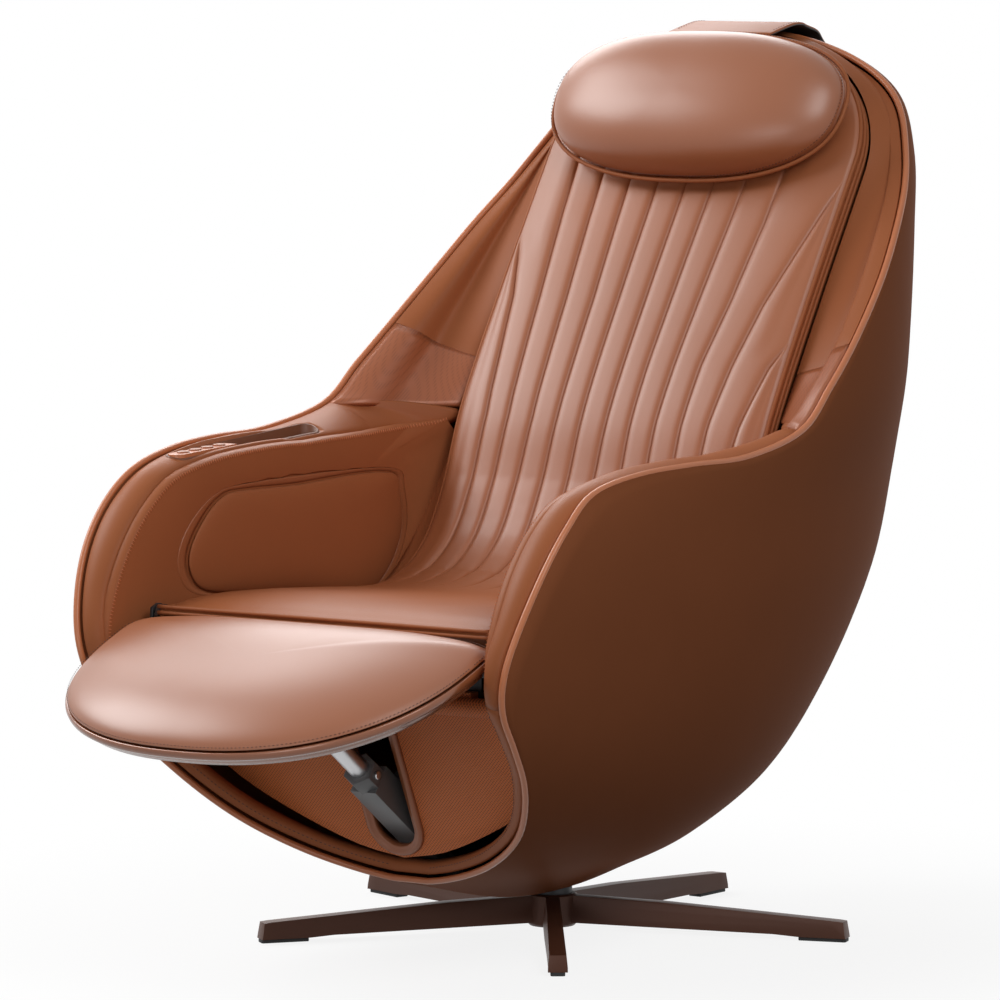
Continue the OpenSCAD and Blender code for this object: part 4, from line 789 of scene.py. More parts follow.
def sewn(name, paths, body, radius=0.0006, length=None, pitch=None, lean=0.0,
         thread="thread"):
    """Rows of stitches along paths, or with a lean across them, as one plain mesh."""
    verts, edges = [], []
    for path in paths:
        base = len(verts)
        verts += [tuple(map(float, p)) for p in path]
        edges += [(base + k, base + k + 1) for k in range(len(path) - 1)]
    mesh = bpy.data.meshes.new(name)
    mesh.from_pydata(verts, edges, [])
    made = bpy.data.objects.new(name, mesh)
    bpy.context.scene.collection.objects.link(made)
    tree = stitch_tree()
    nodes = made.modifiers.new("Stitches", "NODES")
    nodes.node_group = tree
    s = sizes()
    wanted = {"Pitch": pitch or s.stitch_pitch, "Length": length or s.stitch, "Radius": radius, "Lean": lean,
              "Material": finish_of(thread)}
    for item in tree.interface.items_tree:
        if item.item_type == "SOCKET" and item.in_out == "INPUT" and item.name in wanted:
            nodes[item.identifier] = wanted[item.name]
    settle(made)
    return trim(made, body)


# ---------- pieces ----------
def build_shell():
    e, s = egg(), sizes()
    c = s.columns
    u = np.arange(-c, c + 1) / c
    share = np.sin(math.pi / 2 * (1 - np.abs(u)))
    rows = []
    for i in range(1, e.count + 1):
        p = e.side[i] + np.outer(share, e.back[i] - e.side[i])
        rows.append(np.stack([-np.sign(u) * e.x(p[:, 0], p[:, 1]), p[:, 0], p[:, 1]], 1))
    outer = np.array(rows)
    shell = slab("shell", outer, e.sunk(outer, s.wall), finish_of("shaded_shell_leather"))
    cut(shell, block("cover cut", (-0.1, -0.06, -0.065), (0.1, 0.06, 0.065), at_cover))
    ring = superellipse(0.028, 0.028, 2, 40)
    floor = np.array([[(x, y, z) for x, y in ring] for z in (-0.01, 0.11)])
    cut(shell, loft("spindle cut", floor, None))
    # The lip's leather, painted lighter as painted light, goes on the shell and on the lip tube.
    shell.data.materials.append(finish_of("lit_lip_leather"))
    dress(shell, "outer_shell")
    lip_path = np.concatenate([e.rim[1:-1], (e.rim[1:-1] * (-1, 1, 1))[::-1]])
    lip = tube("shell_lip", e.sunk(lip_path, s.wall * 0.5), s.wall * 0.56, finish_of("lit_lip_leather"), 14, True)
    trim(lip, "seat_shell")


COVER_Z = 0.25                  # height of the rear cover's middle


def at_cover(p):
    """From the rear cover's own axes to the chair's."""
    e = egg()
    z0 = COVER_Z
    y0 = e.rear(z0)
    n = e.normal(np.array((0, y0, z0)))
    t = -math.atan2(n[2], n[1])
    y, z = p[:, 1], p[:, 2]
    return np.stack([p[:, 0], y0 + y * math.cos(t) + z * math.sin(t), z0 - y * math.sin(t) + z
                     * math.cos(t)], 1)


# Width of the arm and front bands against height
BAND = [(0.047, 0.013), (0.15, 0.014), (0.24, 0.018), (0.35, 0.025), (0.41, 0.036),
        (0.54, 0.055), (0.57, 0.072),
        (0.588, 0.08)]
SIDE_X, SIDE_T = 0.266, 0.012   # the side wall's face and its thickness
BAND_INSET = 0.0024             # gap between the shell's wall and a band's outer edge
AIR_CENTRE = np.array((-0.155, 0.464))
WALL_FOOT = 117                 # the rim row where a side wall starts


def band_width(e, i):
    """A band's width at a rim row; along the arm it ends at the side wall."""
    g, v, z = e.start(i), e.inward(i), e.rim[i][2]
    w = np.interp(z, *zip(*BAND))
    if not (v[0] < -0.985 and z > 0.30):
        return w
    k = np.clip((z - 0.345) / 0.10, 0, 1)
    return min(w, g[0] - SIDE_X - SIDE_T * k * k * (3 - 2 * k) - 0.0005)


def band_section(e, outer, start, inward, face, width, sink=0.0):
    """The band's section: a crowned top with eased edges, sunk towards its inner seam."""
    crown = min(0.007, width * 0.14)
    down = np.array((0, 0, -sink))
    ring = []
    for t in (0.0, 0.012, 0.05, 0.12, 0.25, 0.4, 0.55, 0.7, 0.82, 0.91, 0.965, 1.0):
        edge = min(t, 1 - t) * width
        drop = 0.0022 * max(0.0, 1 - edge / 0.003) ** 2
        ring.append(start + inward * width * t + face * (band_crown(crown, t) - drop) + down * t ** 1.3)
    low = face * e.s.liner
    return ring + [start + inward * width - low + down, start + inward * width * 0.5 - low + down
                   * 0.4, outer - low]


def band_crown(crown, t):
    """Height of a band's crown, t of the way across it."""
    return crown * math.sin(math.pi * min(1, t * 1.05)) ** 0.8 - 0.002 * t


# Height of the arm's inner seam, which stays low while the rim climbs to the shoulder
SEAM_Y, SEAM_Z = (-0.15, -0.10, -0.05, 0.0088), (0.583, 0.5860, 0.5866, 0.5880)


def seam_sink(e, i):
    """How far the arm band's inner seam sinks to stay low, for a rim row."""
    g, v, w = e.start(i), e.inward(i), band_width(e, i)
    y, z = (g + v * w)[1:]
    return max(0.0, z - 0.002 - float(np.interp(y, SEAM_Y, SEAM_Z))) if y > SEAM_Y[0] else 0.0


def band_ring(e, i):
    return band_section(e, e.sunk(e.rim[i], e.s.wall + BAND_INSET), e.start(i), e.inward(i), e.front(i),
                        band_width(e, i),
                        seam_sink(e, i))


# The inner edge of the shelf at the arm's rear, from the band back to the cushion
SHELF = [(0.2785, 0.0088, 0.5880), (0.2785, 0.040, 0.5892), (0.2745, 0.066, 0.5905), (0.2630, 0.094, 0.5930),
         (0.2480, 0.116, 0.5962), (0.2335, 0.139, 0.6062)]


def shelf_rings(e):
    """The arm's top fans out behind the band, under the mesh insert, back to the cushion."""
    g, outer = e.start(MESH_FOOT), e.sunk(e.rim[MESH_FOOT], e.s.wall + BAND_INSET)
    rings = []
    for inner in smooth(SHELF, 4)[1:]:
        v = inner - g
        rings.append(band_section(e, outer, g, unit(v), np.array((0.0, -0.10, 0.995)),
                                  float(np.linalg.norm(v))))
    return rings[::-1]


def band_rows(e, first, last, depths):
    """Lines for stitches on the band, at set distances from its inner seam."""
    lines = []
    for d in depths:
        line = []
        for i in range(first, last + 1):
            g, v, f, w = e.start(i), e.inward(i), e.front(i), band_width(e, i)
            t = 1 - d / w
            line.append(g + v * w * t + f * (band_crown(min(0.007, w * 0.14), t) + 0.0001)
                        - np.array((0, 0, seam_sink(e, i) * t ** 1.3)))
        lines.append(line)
    return lines


# The control recess: its ends, its middle line and radius, its height and its slope
TRAY_FRONT, TRAY_BACK, TRAY_X, TRAY_R = -0.358, -0.078, -0.2965, 0.014
TRAY_TOP, TRAY_TILT = 0.58964, math.radians(3.2)


def on_arm(p):
    """Tilts points of the control recess to lie along the arm."""
    c = (TRAY_FRONT + TRAY_BACK) / 2
    y, z = p[..., 1] - c, p[..., 2] - TRAY_TOP
    return np.stack([p[..., 0], c + y * math.cos(TRAY_TILT) - z * math.sin(TRAY_TILT),
                     TRAY_TOP + y * math.sin(TRAY_TILT) + z * math.cos(TRAY_TILT)], -1)


def tray_ring(grow, z, count=48):
    """The control recess's outline at one height."""
    r = TRAY_R + grow
    y0, y1 = TRAY_FRONT + TRAY_R, TRAY_BACK - TRAY_R
    a = np.linspace(0, math.pi, count // 2)
    ring = np.concatenate([np.stack([TRAY_X + r * np.cos(a), y1 + r * np.sin(a)], 1),
                           np.stack([TRAY_X - r * np.cos(a), y0 - r * np.sin(a)], 1)])
    return on_arm(np.column_stack([ring, np.full(len(ring), z)]))


def build_arms():
    e = egg()
    rings = np.array(shelf_rings(e) + [band_ring(e, i) for i in range(MESH_FOOT, ARM_FOOT + 1)])
    left = loft("left_band", rings, finish_of("leather"))
    right = mirrored(left, "right_band")
    cut(right, loft("recess", np.array([tray_ring(0.0003, z) for z in (0.53, 0.65)]), None))
    dress(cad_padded(left), "left_arm_pad")
    dress(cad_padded(right), "right_arm_pad")
    line, away = wall_edge(e)
    row = turned_in([(SIDE_X - 0.0003, *p) for p in line + away * 0.0048])
    for k, name in ((1, "left_arm_stitches"), (-1, "right_arm_stitches")):
        sewn(name, [row * (k, 1, 1)], "seat_shell", radius=0.0006, length=0.0046,
             pitch=0.0042, lean=-0.25 * k,
             thread="pale_thread")
    half = [band_ring(e, i) for i in range(ARM_FOOT, e.count + 1)]
    other = [[p * (-1, 1, 1) for p in ring] for ring in half[::-1]]
    liner = loft("front_band", np.array(half + other), finish_of("leather"))
    dress(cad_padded(liner), "front_liner")
    low = band_rows(e, ARM_FOOT, e.count - 1, (0.003,))[0]
    sewn("front_band_stitches", [low, [(-p[0], p[1], p[2]) for p in low]], "seat_shell", radius=0.0006)


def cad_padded(made):
    return made


# The wings' gap to the cushion, how deep they lie beside it, their hollow and the row where they arch over
WING_GAP, WING_SINK, WING_DIP, ARCH_ROW = 0.006, (0.008, 0.028), 0.018, 11 * STEPS // 2


def wing_inner(q, i):
    """Where a wing's inner edge runs beside the cushion, for a rim row."""
    start = q.total - q.arch
    if i < ARCH_ROW:
        a = math.pi / 2 * (ARCH_ROW - i) / (ARCH_ROW - STEPS / 2)
        s = start + (q.arch + WING_GAP) * math.sin(min(a, math.pi / 2))
    else:
        a, s = 0.0, start + (q.at_height(0.684) - start) * (i - ARCH_ROW) / (MESH_TOP - ARCH_ROW)
    sink = float(np.interp(i, (0, ARCH_ROW), WING_SINK))
    p = q.point(s) + np.array(q.up) * max(0.0, s - q.total) - q.normal(s) * sink
    return np.array(((q.s.pad_width / 2 + WING_GAP) * math.cos(min(a, math.pi / 2)), p[0], p[1]))


WING_STEPS = 20                 # points across a wing


def hollow(e, i, inner, dip):
    """A line across a wing or mesh insert: a roll at the lip, then a hollow down to its inner edge."""
    g = e.start(i)
    n = unit(e.normal(e.rim[i]) + (0, 0.6, -0.2))
    t = np.linspace(0, 1, WING_STEPS)[:, None]
    wide = min(1, np.linalg.norm(inner - g) / 0.09)
    deep = dip * np.sin(math.pi * t ** 1.25) ** 2 * wide
    roll = 0.009 * np.sin(math.pi * np.clip(t / 0.5, 0, 1)) * wide
    return g + (inner - g) * t + n * (deep - roll)


def build_wings():
    e, q, s = egg(), pad(), sizes()
    rows = list(range(STEPS // 2 + 2, MESH_TOP + 1))
    half = [hollow(e, i, wing_inner(q, i), WING_DIP) for i in rows]
    front = np.array(half[::-1] + [h * (-1, 1, 1) for h in half])
    drop = np.array((0, q.up[1], -q.up[0])) * s.liner
    depth = np.ones(WING_STEPS)
    depth[:3] = (0.4, 0.6, 0.85)
    wings = slab("wings", front, front + drop * depth[None, :, None], finish_of("leather"))
    rounded(wings, 0.003, 3, 50)
    dress(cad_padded(wings), "head_surround")
    corner = np.array((s.pad_width / 2 + WING_GAP, 0.144, 0.609))
    mesh = []
    for i in range(MESH_TOP, MESH_FOOT + 1):
        t = (i - MESH_TOP) / (MESH_FOOT - MESH_TOP)
        inner = wing_inner(q, MESH_TOP) * (1 - t) + corner * t
        ring = hollow(e, i, inner, WING_DIP * (1 - t) + 0.008 * t)
        bulge = np.sin(math.pi * np.linspace(0, 1, WING_STEPS)[:, None]) * 0.004
        mesh.append(ring + np.array((0, -0.5, 0.5)) * bulge)
    front = np.array(mesh)
    front[0] += np.array((0, -0.0004, -0.0006))
    insert = slab("left_insert", front, front + np.array((0, 0.004, -0.005)), finish_of("mesh"))
    twin = mirrored(insert, "right_insert")
    dress(insert, "left_mesh_insert")
    dress(twin, "right_mesh_insert")


def wall_turn(y):
    """How far a side wall turns in behind its air cushion, to meet the seat's cushion."""
    return 0.025 * np.clip((y - 0.074) / 0.054, 0, 1.2)


def turned_in(verts):
    out = np.array(verts)
    out[..., 0] -= wall_turn(out[..., 1])
    return out


def wall_edge(e):
    """The line of a side wall's sewn edge in Y and Z, and the way down from it."""
    rim = np.array([band_ring(e, i)[11][1:] for i in range(WALL_FOOT, MESH_FOOT, -2)])
    t = unit(np.gradient(rim, axis=0))
    shelf = smooth(SHELF, 4)[:-3, 1:] - (0, 0.0012)
    return (np.concatenate([rim, shelf]),
            np.concatenate([np.stack([t[:, 1], -t[:, 0]], 1), np.tile((0.05, -1.0), (len(shelf), 1))]))


def wall_rings(e):
    """A side wall whose edge rolls over from the arm's seam, with a recess for its air cushion."""
    line, away = wall_edge(e)
    back = smooth([(0.131, 0.580), (0.133, 0.545), (0.122, 0.505), (0.108, 0.445),
                   (0.080, 0.402), (0.0, 0.378),
                   (-0.200, 0.366), (-0.400, 0.356), (-0.500, 0.345)], 4)
    line, away = np.concatenate([line, back]), np.concatenate([away, np.zeros((len(back), 2))])
    rings = []
    for x, d in [(SIDE_X + SIDE_T, 0.008), (SIDE_X + SIDE_T, 0.0010)] + [
            (SIDE_X + SIDE_T - 0.012 * math.sin(a), 0.0006 + 0.0050 * (1 - math.cos(a)))
            for a in np.linspace(0.15, math.pi / 2, 7)]:
        rings.append([(x, *p) for p in line + away * d])
    edge = line + away * 0.0056
    air = facing(edge, smooth_closed(AIR_CUSHION, 4), AIR_CENTRE)
    for x, k, share in ((SIDE_X, 0.6, 1.0), (SIDE_X, 0.98, 1.0), (SIDE_X + 0.0002, 1.0, 1.0),
                        (SIDE_X + 0.003, 1.0, 0.999),
                        (SIDE_X + 0.003, 1.0, 0.9), (SIDE_X + 0.003, 1.0, 0.5)):
        rings.append([(x, *p) for p in AIR_CENTRE + (edge + (air - edge) * k - AIR_CENTRE) * share])
    for share in (0.9, 0.5):
        rings.insert(0, [(SIDE_X + SIDE_T, *p) for p in AIR_CENTRE + (edge - AIR_CENTRE) * share])
    return turned_in(rings)


def facing(points, outline, centre):
    """For each point, the place on a closed outline that lies the same way from its centre."""
    way = np.arctan2(*(outline - centre).T[::-1])
    far = np.linalg.norm(outline - centre, axis=1)
    order = np.argsort(way)
    angle = np.arctan2(*(points - centre).T[::-1])
    r = np.interp(angle, way[order], far[order], period=2 * math.pi)
    return centre + np.stack([np.cos(angle), np.sin(angle)], 1) * r[:, None]


def build_sides():
    e = egg()
    wall = loft("left_wall", wall_rings(e), finish_of("leather"))
    wall.data.set_sharp_from_angle(angle=math.radians(35))
    twin = mirrored(wall, "right_wall")
    dress(wall, "left_side_wall")
    dress(twin, "right_side_wall")
    air = smooth_closed(AIR_CUSHION, 4)
    lip, well = shrunk(air, AIR_CENTRE, 0.0001), front_step(shrunk(air, AIR_CENTRE, 0.009))
    ring = np.array([[(x, *(a + (b - a) * k)) for a, b in zip(lip, well)]
                     for x, k in ((SIDE_X + 0.003, 0), (SIDE_X + 0.0008, 0.0), (SIDE_X + 0.0003, 0.18),
                                  (SIDE_X + 0.0022, 0.7), (SIDE_X + 0.0026, 1.0), (SIDE_X + 0.0032, 1.0))])
    bezel = loft("left_bezel", ring, finish_of("trim"), closed=True)
    other = mirrored(bezel, "right_bezel")
    dress(bezel, "left_side_bezel")
    dress(other, "right_side_bezel")
    inner = front_step(shrunk(air, AIR_CENTRE, 0.010))
    count, rings = len(inner), 16
    levels = []
    for k in range(rings):
        a = math.pi / 2 * k / (rings - 1)
        share = math.cos(a) ** 0.72 if k < rings - 1 else 0.0
        height = 0.0105 * min(1.0, math.sin(a) ** 0.55)
        levels.append([(SIDE_X + 0.003 - height, *(AIR_CENTRE + (p - AIR_CENTRE) * max(share, 0.004)))
                       for p in inner])
    cushion = loft("left_air_pad", np.array(levels), finish_of("leather"))
    inflate(cushion, 3.0, 0.003, pinned=lambda p: p[:, 0] > SIDE_X + 0.0015)
    subdivided(cushion)
    pair = mirrored(cushion, "right_air_pad")
    dress(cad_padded(cushion), "left_air_cushion")
    dress(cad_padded(pair), "right_air_cushion")


def build_fillers():
    """Covered strips that close the gap between the seat's cushion and each side wall."""
    q = pad()
    runs = np.linspace(0.035, q.at_height(0.56), 48)
    near, y = q.half_width(runs) + 0.0008, q.point(runs)[:, 0]
    wall = np.maximum(SIDE_X - wall_turn(y) - 0.0002, near + 0.002)
    ring = [q.place(near + (wall - near) * k, runs, lift) for k, lift in
            ((0.0, -0.034), (0.2, -0.0315), (0.5, -0.0305), (0.8, -0.0315), (1.0, -0.034),
             (1.0, -0.042), (0.0, -0.042))]
    left = loft("left_filler", np.stack(ring, 1), finish_of("leather"))
    right = mirrored(left, "right_filler")
    trim(left, "seat_shell")
    trim(right, "seat_shell")


def front_step(p):
    """Widens the bezel's step at the front."""
    return p + np.column_stack([0.011 * np.clip((-0.29 - p[:, 0]) / 0.06, 0, 1), np.zeros(len(p))])


def shrunk(p, centre, depth):
    """An outline drawn in towards its centre."""
    return p - unit(p - centre) * depth


# Columns on each side of a sewn seam, by their distance from it
CREASE = (0.0006, 0.0014, 0.0030)


def channel_columns(q, s):
    """Columns that follow the sewn channels: x, share of the depth and distance to the seam."""
    h = float(q.half_width(s))
    lines = np.array([np.interp(s, CHANNEL_RUN, c) for c in CHANNELS])
    room = h - 0.0035
    share = np.clip((room - np.abs(lines)) / 0.010, 0, 1) * np.clip((s - 0.36) / 0.10, 0, 1) ** 1.5
    apart = 0.00012 * np.arange(len(lines))
    lines = np.clip(lines, -room + apart, room - apart[::-1])
    lines = np.concatenate([[-h], lines, [h]])
    share = np.concatenate([[0], share, [0]])
    xs, deep, near = [], [], []
    for k in range(len(lines) - 1):
        a, gap = lines[k], lines[k + 1] - lines[k]
        off = np.array(CREASE) * min(1.0, gap / 0.012)
        inside = np.linspace(off[-1], gap - off[-1], 8)[1:-1]
        steps = np.concatenate([[0], off, inside, (gap - off)[::-1]])
        xs += list(a + steps)
        deep += list(np.where(steps < gap / 2, share[k], share[k + 1]))
        near += list(np.minimum(steps, gap - steps))
    return np.array(xs + [h]), np.array(deep + [0.0]), np.array(near + [0.0])


def channel_lift(deep, near, depth):
    """Height over the channels: flat panels, soft shoulders and a crisp crease at each seam."""
    crease = -depth * deep * np.exp(-((near / 0.0013) ** 1.1))
    return crease + 0.0012 * deep * np.minimum(1, near / 0.008) ** 0.6


def build_seat():
    q, s = pad(), sizes()
    straight = np.arange(0, q.total - q.arch, 0.0055)
    arch = q.total - q.arch + q.arch * np.sin(np.radians(np.arange(0, 87, 2.8)))
    runs = np.concatenate([straight, arch])
    h = q.half_width(runs)
    cols = [channel_columns(q, r) for r in runs]
    x = np.array([c[0] for c in cols])
    relief = np.array([channel_lift(c[1], c[2], s.channel) for c in cols])
    side = h[:, None] - np.abs(x)
    u = np.abs(x) / h[:, None]
    edge = -0.006 * u ** 10 - 0.0045 * np.clip(1 - side / 0.006, 0, 1) ** 2
    ends = np.minimum(1, runs / 0.05)[:, None]
    lift = edge + relief - 0.006 * (1 - ends) ** 2
    face = q.place(x, runs[:, None] + 0 * x, lift) + swollen(q, s, runs, h, x)
    thick = np.minimum(s.pad_thick, np.minimum(0.016 + (s.pad_thick - 0.016) * runs / 0.06,
                                               0.018 + (s.pad_thick - 0.018) * (q.total - runs) / q.arch))
    below = []
    for k, run in enumerate(runs):
        row = [(1.0, 0.35), (1.0, 0.5), (1.0, 0.72), (0.99, 0.93), (0.97, 1.0)]
        row = [(h[k] * a, d) for a, d in row]
        row = row + [(0.0, 1.0)] + [(-a, d) for a, d in row[::-1]]
        below.append([q.place(np.float64(a), np.float64(run), -max(thick[k] * d, 0.0125 + 0.002 * d))
                      for a, d in row])
    rings = np.concatenate([face, np.array(below)], axis=1)
    cushion = loft("seat_and_back", rings, finish_of("seat_leather"))
    dress(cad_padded(cushion), "seat_back_cushion")
    for k, (out, drop) in enumerate(((0.0, 0.0105), (0.0012, 0.0185), (0.0008, 0.0265))):
        line = [q.place(h[i] + out, runs[i], -min(drop, thick[i] * (0.45, 0.7, 0.95)[k]))
                for i in range(1, len(runs))]
        other = [p * (-1, 1, 1) for p in line]
        made = tube(f"cushion_piping_{k}", np.array(other + line[::-1]), s.piping * (1.0, 0.85, 0.85)[k],
                    finish_of("leather"))
        trim(made, "seat_shell")
    for k, (y, z) in enumerate(((-0.4585, 0.4125), (-0.4590, 0.4055))):
        front = np.column_stack([np.linspace(-h[0], h[0], 60), np.full(60, y), np.full(60, z)])
        trim(tube(f"seat_front_piping_{k}", front, s.piping * 0.9, finish_of("leather")),
             "seat_shell")


def swollen(q, s, runs, h, x):
    """How far cloth lifts the face, worked out on a coarser sheet sewn down along its channels."""
    u = np.linspace(-1, 1, 57)
    r = np.arange(0, len(runs), 2)
    cx = h[r][:, None] * u
    run = runs[r][:, None] + 0 * cx
    coarse = q.place(cx, run, np.zeros(cx.shape))
    trial = slab("trial", coarse, q.place(cx * 0.98, run, np.full(cx.shape, -s.pad_thick * 0.6)), None)
    count = len(trial.data.vertices)
    if count != 2 * cx.size:
        bpy.data.objects.remove(trial)
        return 0.0
    lines = np.array([np.interp(runs[r], CHANNEL_RUN, ch) for ch in CHANNELS])
    near = np.min(np.abs(cx[None] - lines[:, :, None]), axis=0) < 0.0045
    near &= (runs[r] > 0.45)[:, None]
    near[:, :2] = near[:, -2:] = True
    near[:2], near[-2:] = True, True
    held = np.ones(count, bool)
    held[:near.size] = near.ravel()
    inflate(trial, 2.2, 0.0025, pinned=lambda p: held, even=1)
    end = np.empty(count * 3)
    trial.data.vertices.foreach_get("co", end)
    move = (end.reshape(-1, 3)[:near.size] - coarse.reshape(-1, 3)).reshape(*cx.shape, 3)
    bpy.data.objects.remove(trial)
    wide = np.array([[np.interp(x[i] / h[i], u, move[i // 2, :, k]) for k in range(3)]
                     for i in range(len(runs))])
    return np.moveaxis(wide, 1, 2)


def cushion_rings(outline, up, down, rings, power=1.0):
    """Rings of a crowned cushion round an outline, from its underside to its top."""
    levels = []
    for k in range(-rings + 1, rings):
        a = math.pi / 2 * k / rings
        share = math.cos(a) ** power
        height = (up if k > 0 else down) * math.sin(a)
        levels.append(np.column_stack([outline * share, np.full(len(outline), height)]))
    return np.array(levels)


def closed_cushion(name, levels, low, high, material):
    n, c = levels.shape[:2]
    verts = np.concatenate([levels.reshape(-1, 3), [low, high]])
    faces = grid_faces(n, c, wrap=True)
    faces += [(n * c, (j + 1) % c, j) for j in range(c)]
    faces += [(n * c + 1, (n - 1) * c + j, (n - 1) * c + (j + 1) % c) for j in range(c)]
    return piece(name, verts, faces, material)


# The pillow's middle: a height on the back, the way up the back from there, and its lift off it
PILLOW_ROW, PILLOW_CLIMB, PILLOW_LIFT = 0.900, 0.076, 0.0014
PILLOW_LEAN, PILLOW_UNDER = math.radians(4), 0.28       # its lean, and the share of its depth below its seam
STRAP_HALF, STRAP_CLEAR, STRAP_THICK = 0.075, 0.003, 0.004


def on_pillow(q, s, p):
    """From the pillow's own axes, x across, y up the back and z out of it, to the chair's."""
    out = np.array((-q.up[1], q.up[0]))
    c = q.point(q.at_height(PILLOW_ROW) + PILLOW_CLIMB) + out * (PILLOW_LIFT + s.pillow_thick * PILLOW_UNDER)
    tilt = math.atan2(q.up[1], q.up[0]) + PILLOW_LEAN
    y = c[0] + p[..., 1] * math.cos(tilt) - p[..., 2] * math.sin(tilt)
    z = c[1] + p[..., 1] * math.sin(tilt) + p[..., 2] * math.cos(tilt)
    return np.stack([p[..., 0], y, z], -1)


def build_headrest():
    q, s = pad(), sizes()
    base = superellipse(s.pillow_width / 2, s.pillow_height / 2, 2.4, 160)
    base[:, 0] *= 1 + 0.05 * base[:, 1] / s.pillow_height
    up, down = s.pillow_thick * (1 - PILLOW_UNDER), s.pillow_thick * PILLOW_UNDER
    levels = cushion_rings(base * 0.985, up * 0.93, down * 0.85, 14, 0.8)
    soft = closed_cushion("pillow", on_pillow(q, s, levels), on_pillow(q, s, np.array((0, 0, -down * 0.85))),
                          on_pillow(q, s, np.array((0, 0, up * 0.93))), finish_of("soft_leather"))
    inflate(soft, 4.0, 0.005)
    subdivided(soft)
    dress(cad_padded(soft), "headrest_pillow")
    seam = np.column_stack([base, np.zeros(len(base))])
    trim(tube("pillow_piping", on_pillow(q, s, seam), s.piping, finish_of("leather"), closed=True),
         "headrest")
    for k, (share, height) in enumerate(((0.985, 0.010), (0.985, -0.006))):
        row = np.column_stack([base * share, np.full(len(base), height)])
        row = np.concatenate([row, row[:1]])
        sewn(f"pillow_stitches_{k}", [on_pillow(q, s, row)], "headrest", radius=0.0005,
             length=0.0026, pitch=0.0045)
    build_strap(q, s)


def build_strap(q, s):
    e = egg()
    top_z = s.shell_floor + s.shell_height
    top_y = e.level(top_z, CENTRE)
    lean, rise = math.cos(PILLOW_LEAN), math.sin(PILLOW_LEAN)
    up = np.array((q.up[0] * lean - q.up[1] * rise, q.up[0] * rise + q.up[1] * lean))
    out = np.array((-q.up[1], q.up[0]))
    begin = (q.point(q.at_height(PILLOW_ROW) + PILLOW_CLIMB) + up * (s.pillow_height / 2 - 0.002)
             + out * (PILLOW_LIFT + s.pillow_thick * PILLOW_UNDER))
    over = []
    for drop in (0, 0.006, 0.016, 0.034, 0.060, 0.095, 0.135):
        z = top_z - drop
        y = e.rear(z)
        n = e.normal(np.array((0, y, z)))
        over.append(np.array((y, z)) + unit(n[1:]) * STRAP_CLEAR)
    crest = top_z + STRAP_CLEAR
    line = smooth([begin, (top_y - 0.034, crest + 0.0015), (top_y - 0.012, crest + 0.003)] + over, 6)
    t = unit(np.gradient(line, axis=0))
    n = np.stack([-t[:, 1], t[:, 0]], 1)
    half, thick = STRAP_HALF, STRAP_THICK
    rings = []
    for k in range(len(line)):
        pts = [(-half, 0.0), (half, 0.0), (half + 0.001, thick / 2), (half, thick), (-half, thick),
               (-half - 0.001, thick / 2)]
        rings.append([(a, *(line[k] + n[k] * b)) for a, b in pts])
    band = loft("strap", np.array(rings), finish_of("leather"))
    band.data.materials.append(finish_of("graphite"))
    for f in band.data.polygons:
        mid = f.center
        k = int(np.argmin(np.hypot(line[:, 0] - mid.y, line[:, 1] - mid.z)))
        if (np.array((mid.y, mid.z)) - line[k]) @ n[k] < 0.0012:
            f.material_index = 1
    rounded(band, 0.0012, 2, 40)
    dress(band, "pillow_strap")
    rows = [[(a, *(line[k] + n[k] * 0.0041)) for k in range(2, len(line) - 1)]
            for a in (-half + 0.005, half - 0.005)]
    sewn("strap_stitches", rows, "headrest", 0.0005)


REST_HINGE = (-0.446, 0.405)    # depth and height
REST_HALF, REST_LENGTH, REST_BACK, REST_MIDDLE = 0.262, 0.312, 0.012, 0.074
REST_POINTS, REST_FOOT, REST_SWELL, REST_RINGS = 200, 0.0004, 0.032, 19


def on_rest(p):
    """From the leg rest's own axes, with y back to its hinge, to the chair's."""
    a = sizes().rest_slope
    y, z = p[..., 1], p[..., 2]
    return np.stack([p[..., 0], REST_HINGE[0] + y * math.cos(a) - z * math.sin(a),
                     REST_HINGE[1] + y * math.sin(a) + z * math.cos(a)], -1)


def rest_outline(grow):
    """The leg rest's outline, squarer at its hinge and rounder at its foot."""
    t = np.arange(REST_POINTS) * 2 * math.pi / REST_POINTS
    co, si = np.cos(t), np.sin(t)
    power = np.where(si > 0, 4.5, 2.35)
    b = np.where(si > 0, REST_MIDDLE - REST_BACK, REST_LENGTH - REST_MIDDLE) + grow
    return np.stack([(REST_HALF + grow) * np.sign(co) * np.abs(co) ** (2 / power),
                     -REST_MIDDLE + b * np.sign(si) * np.abs(si) ** (2 / power)], 1)


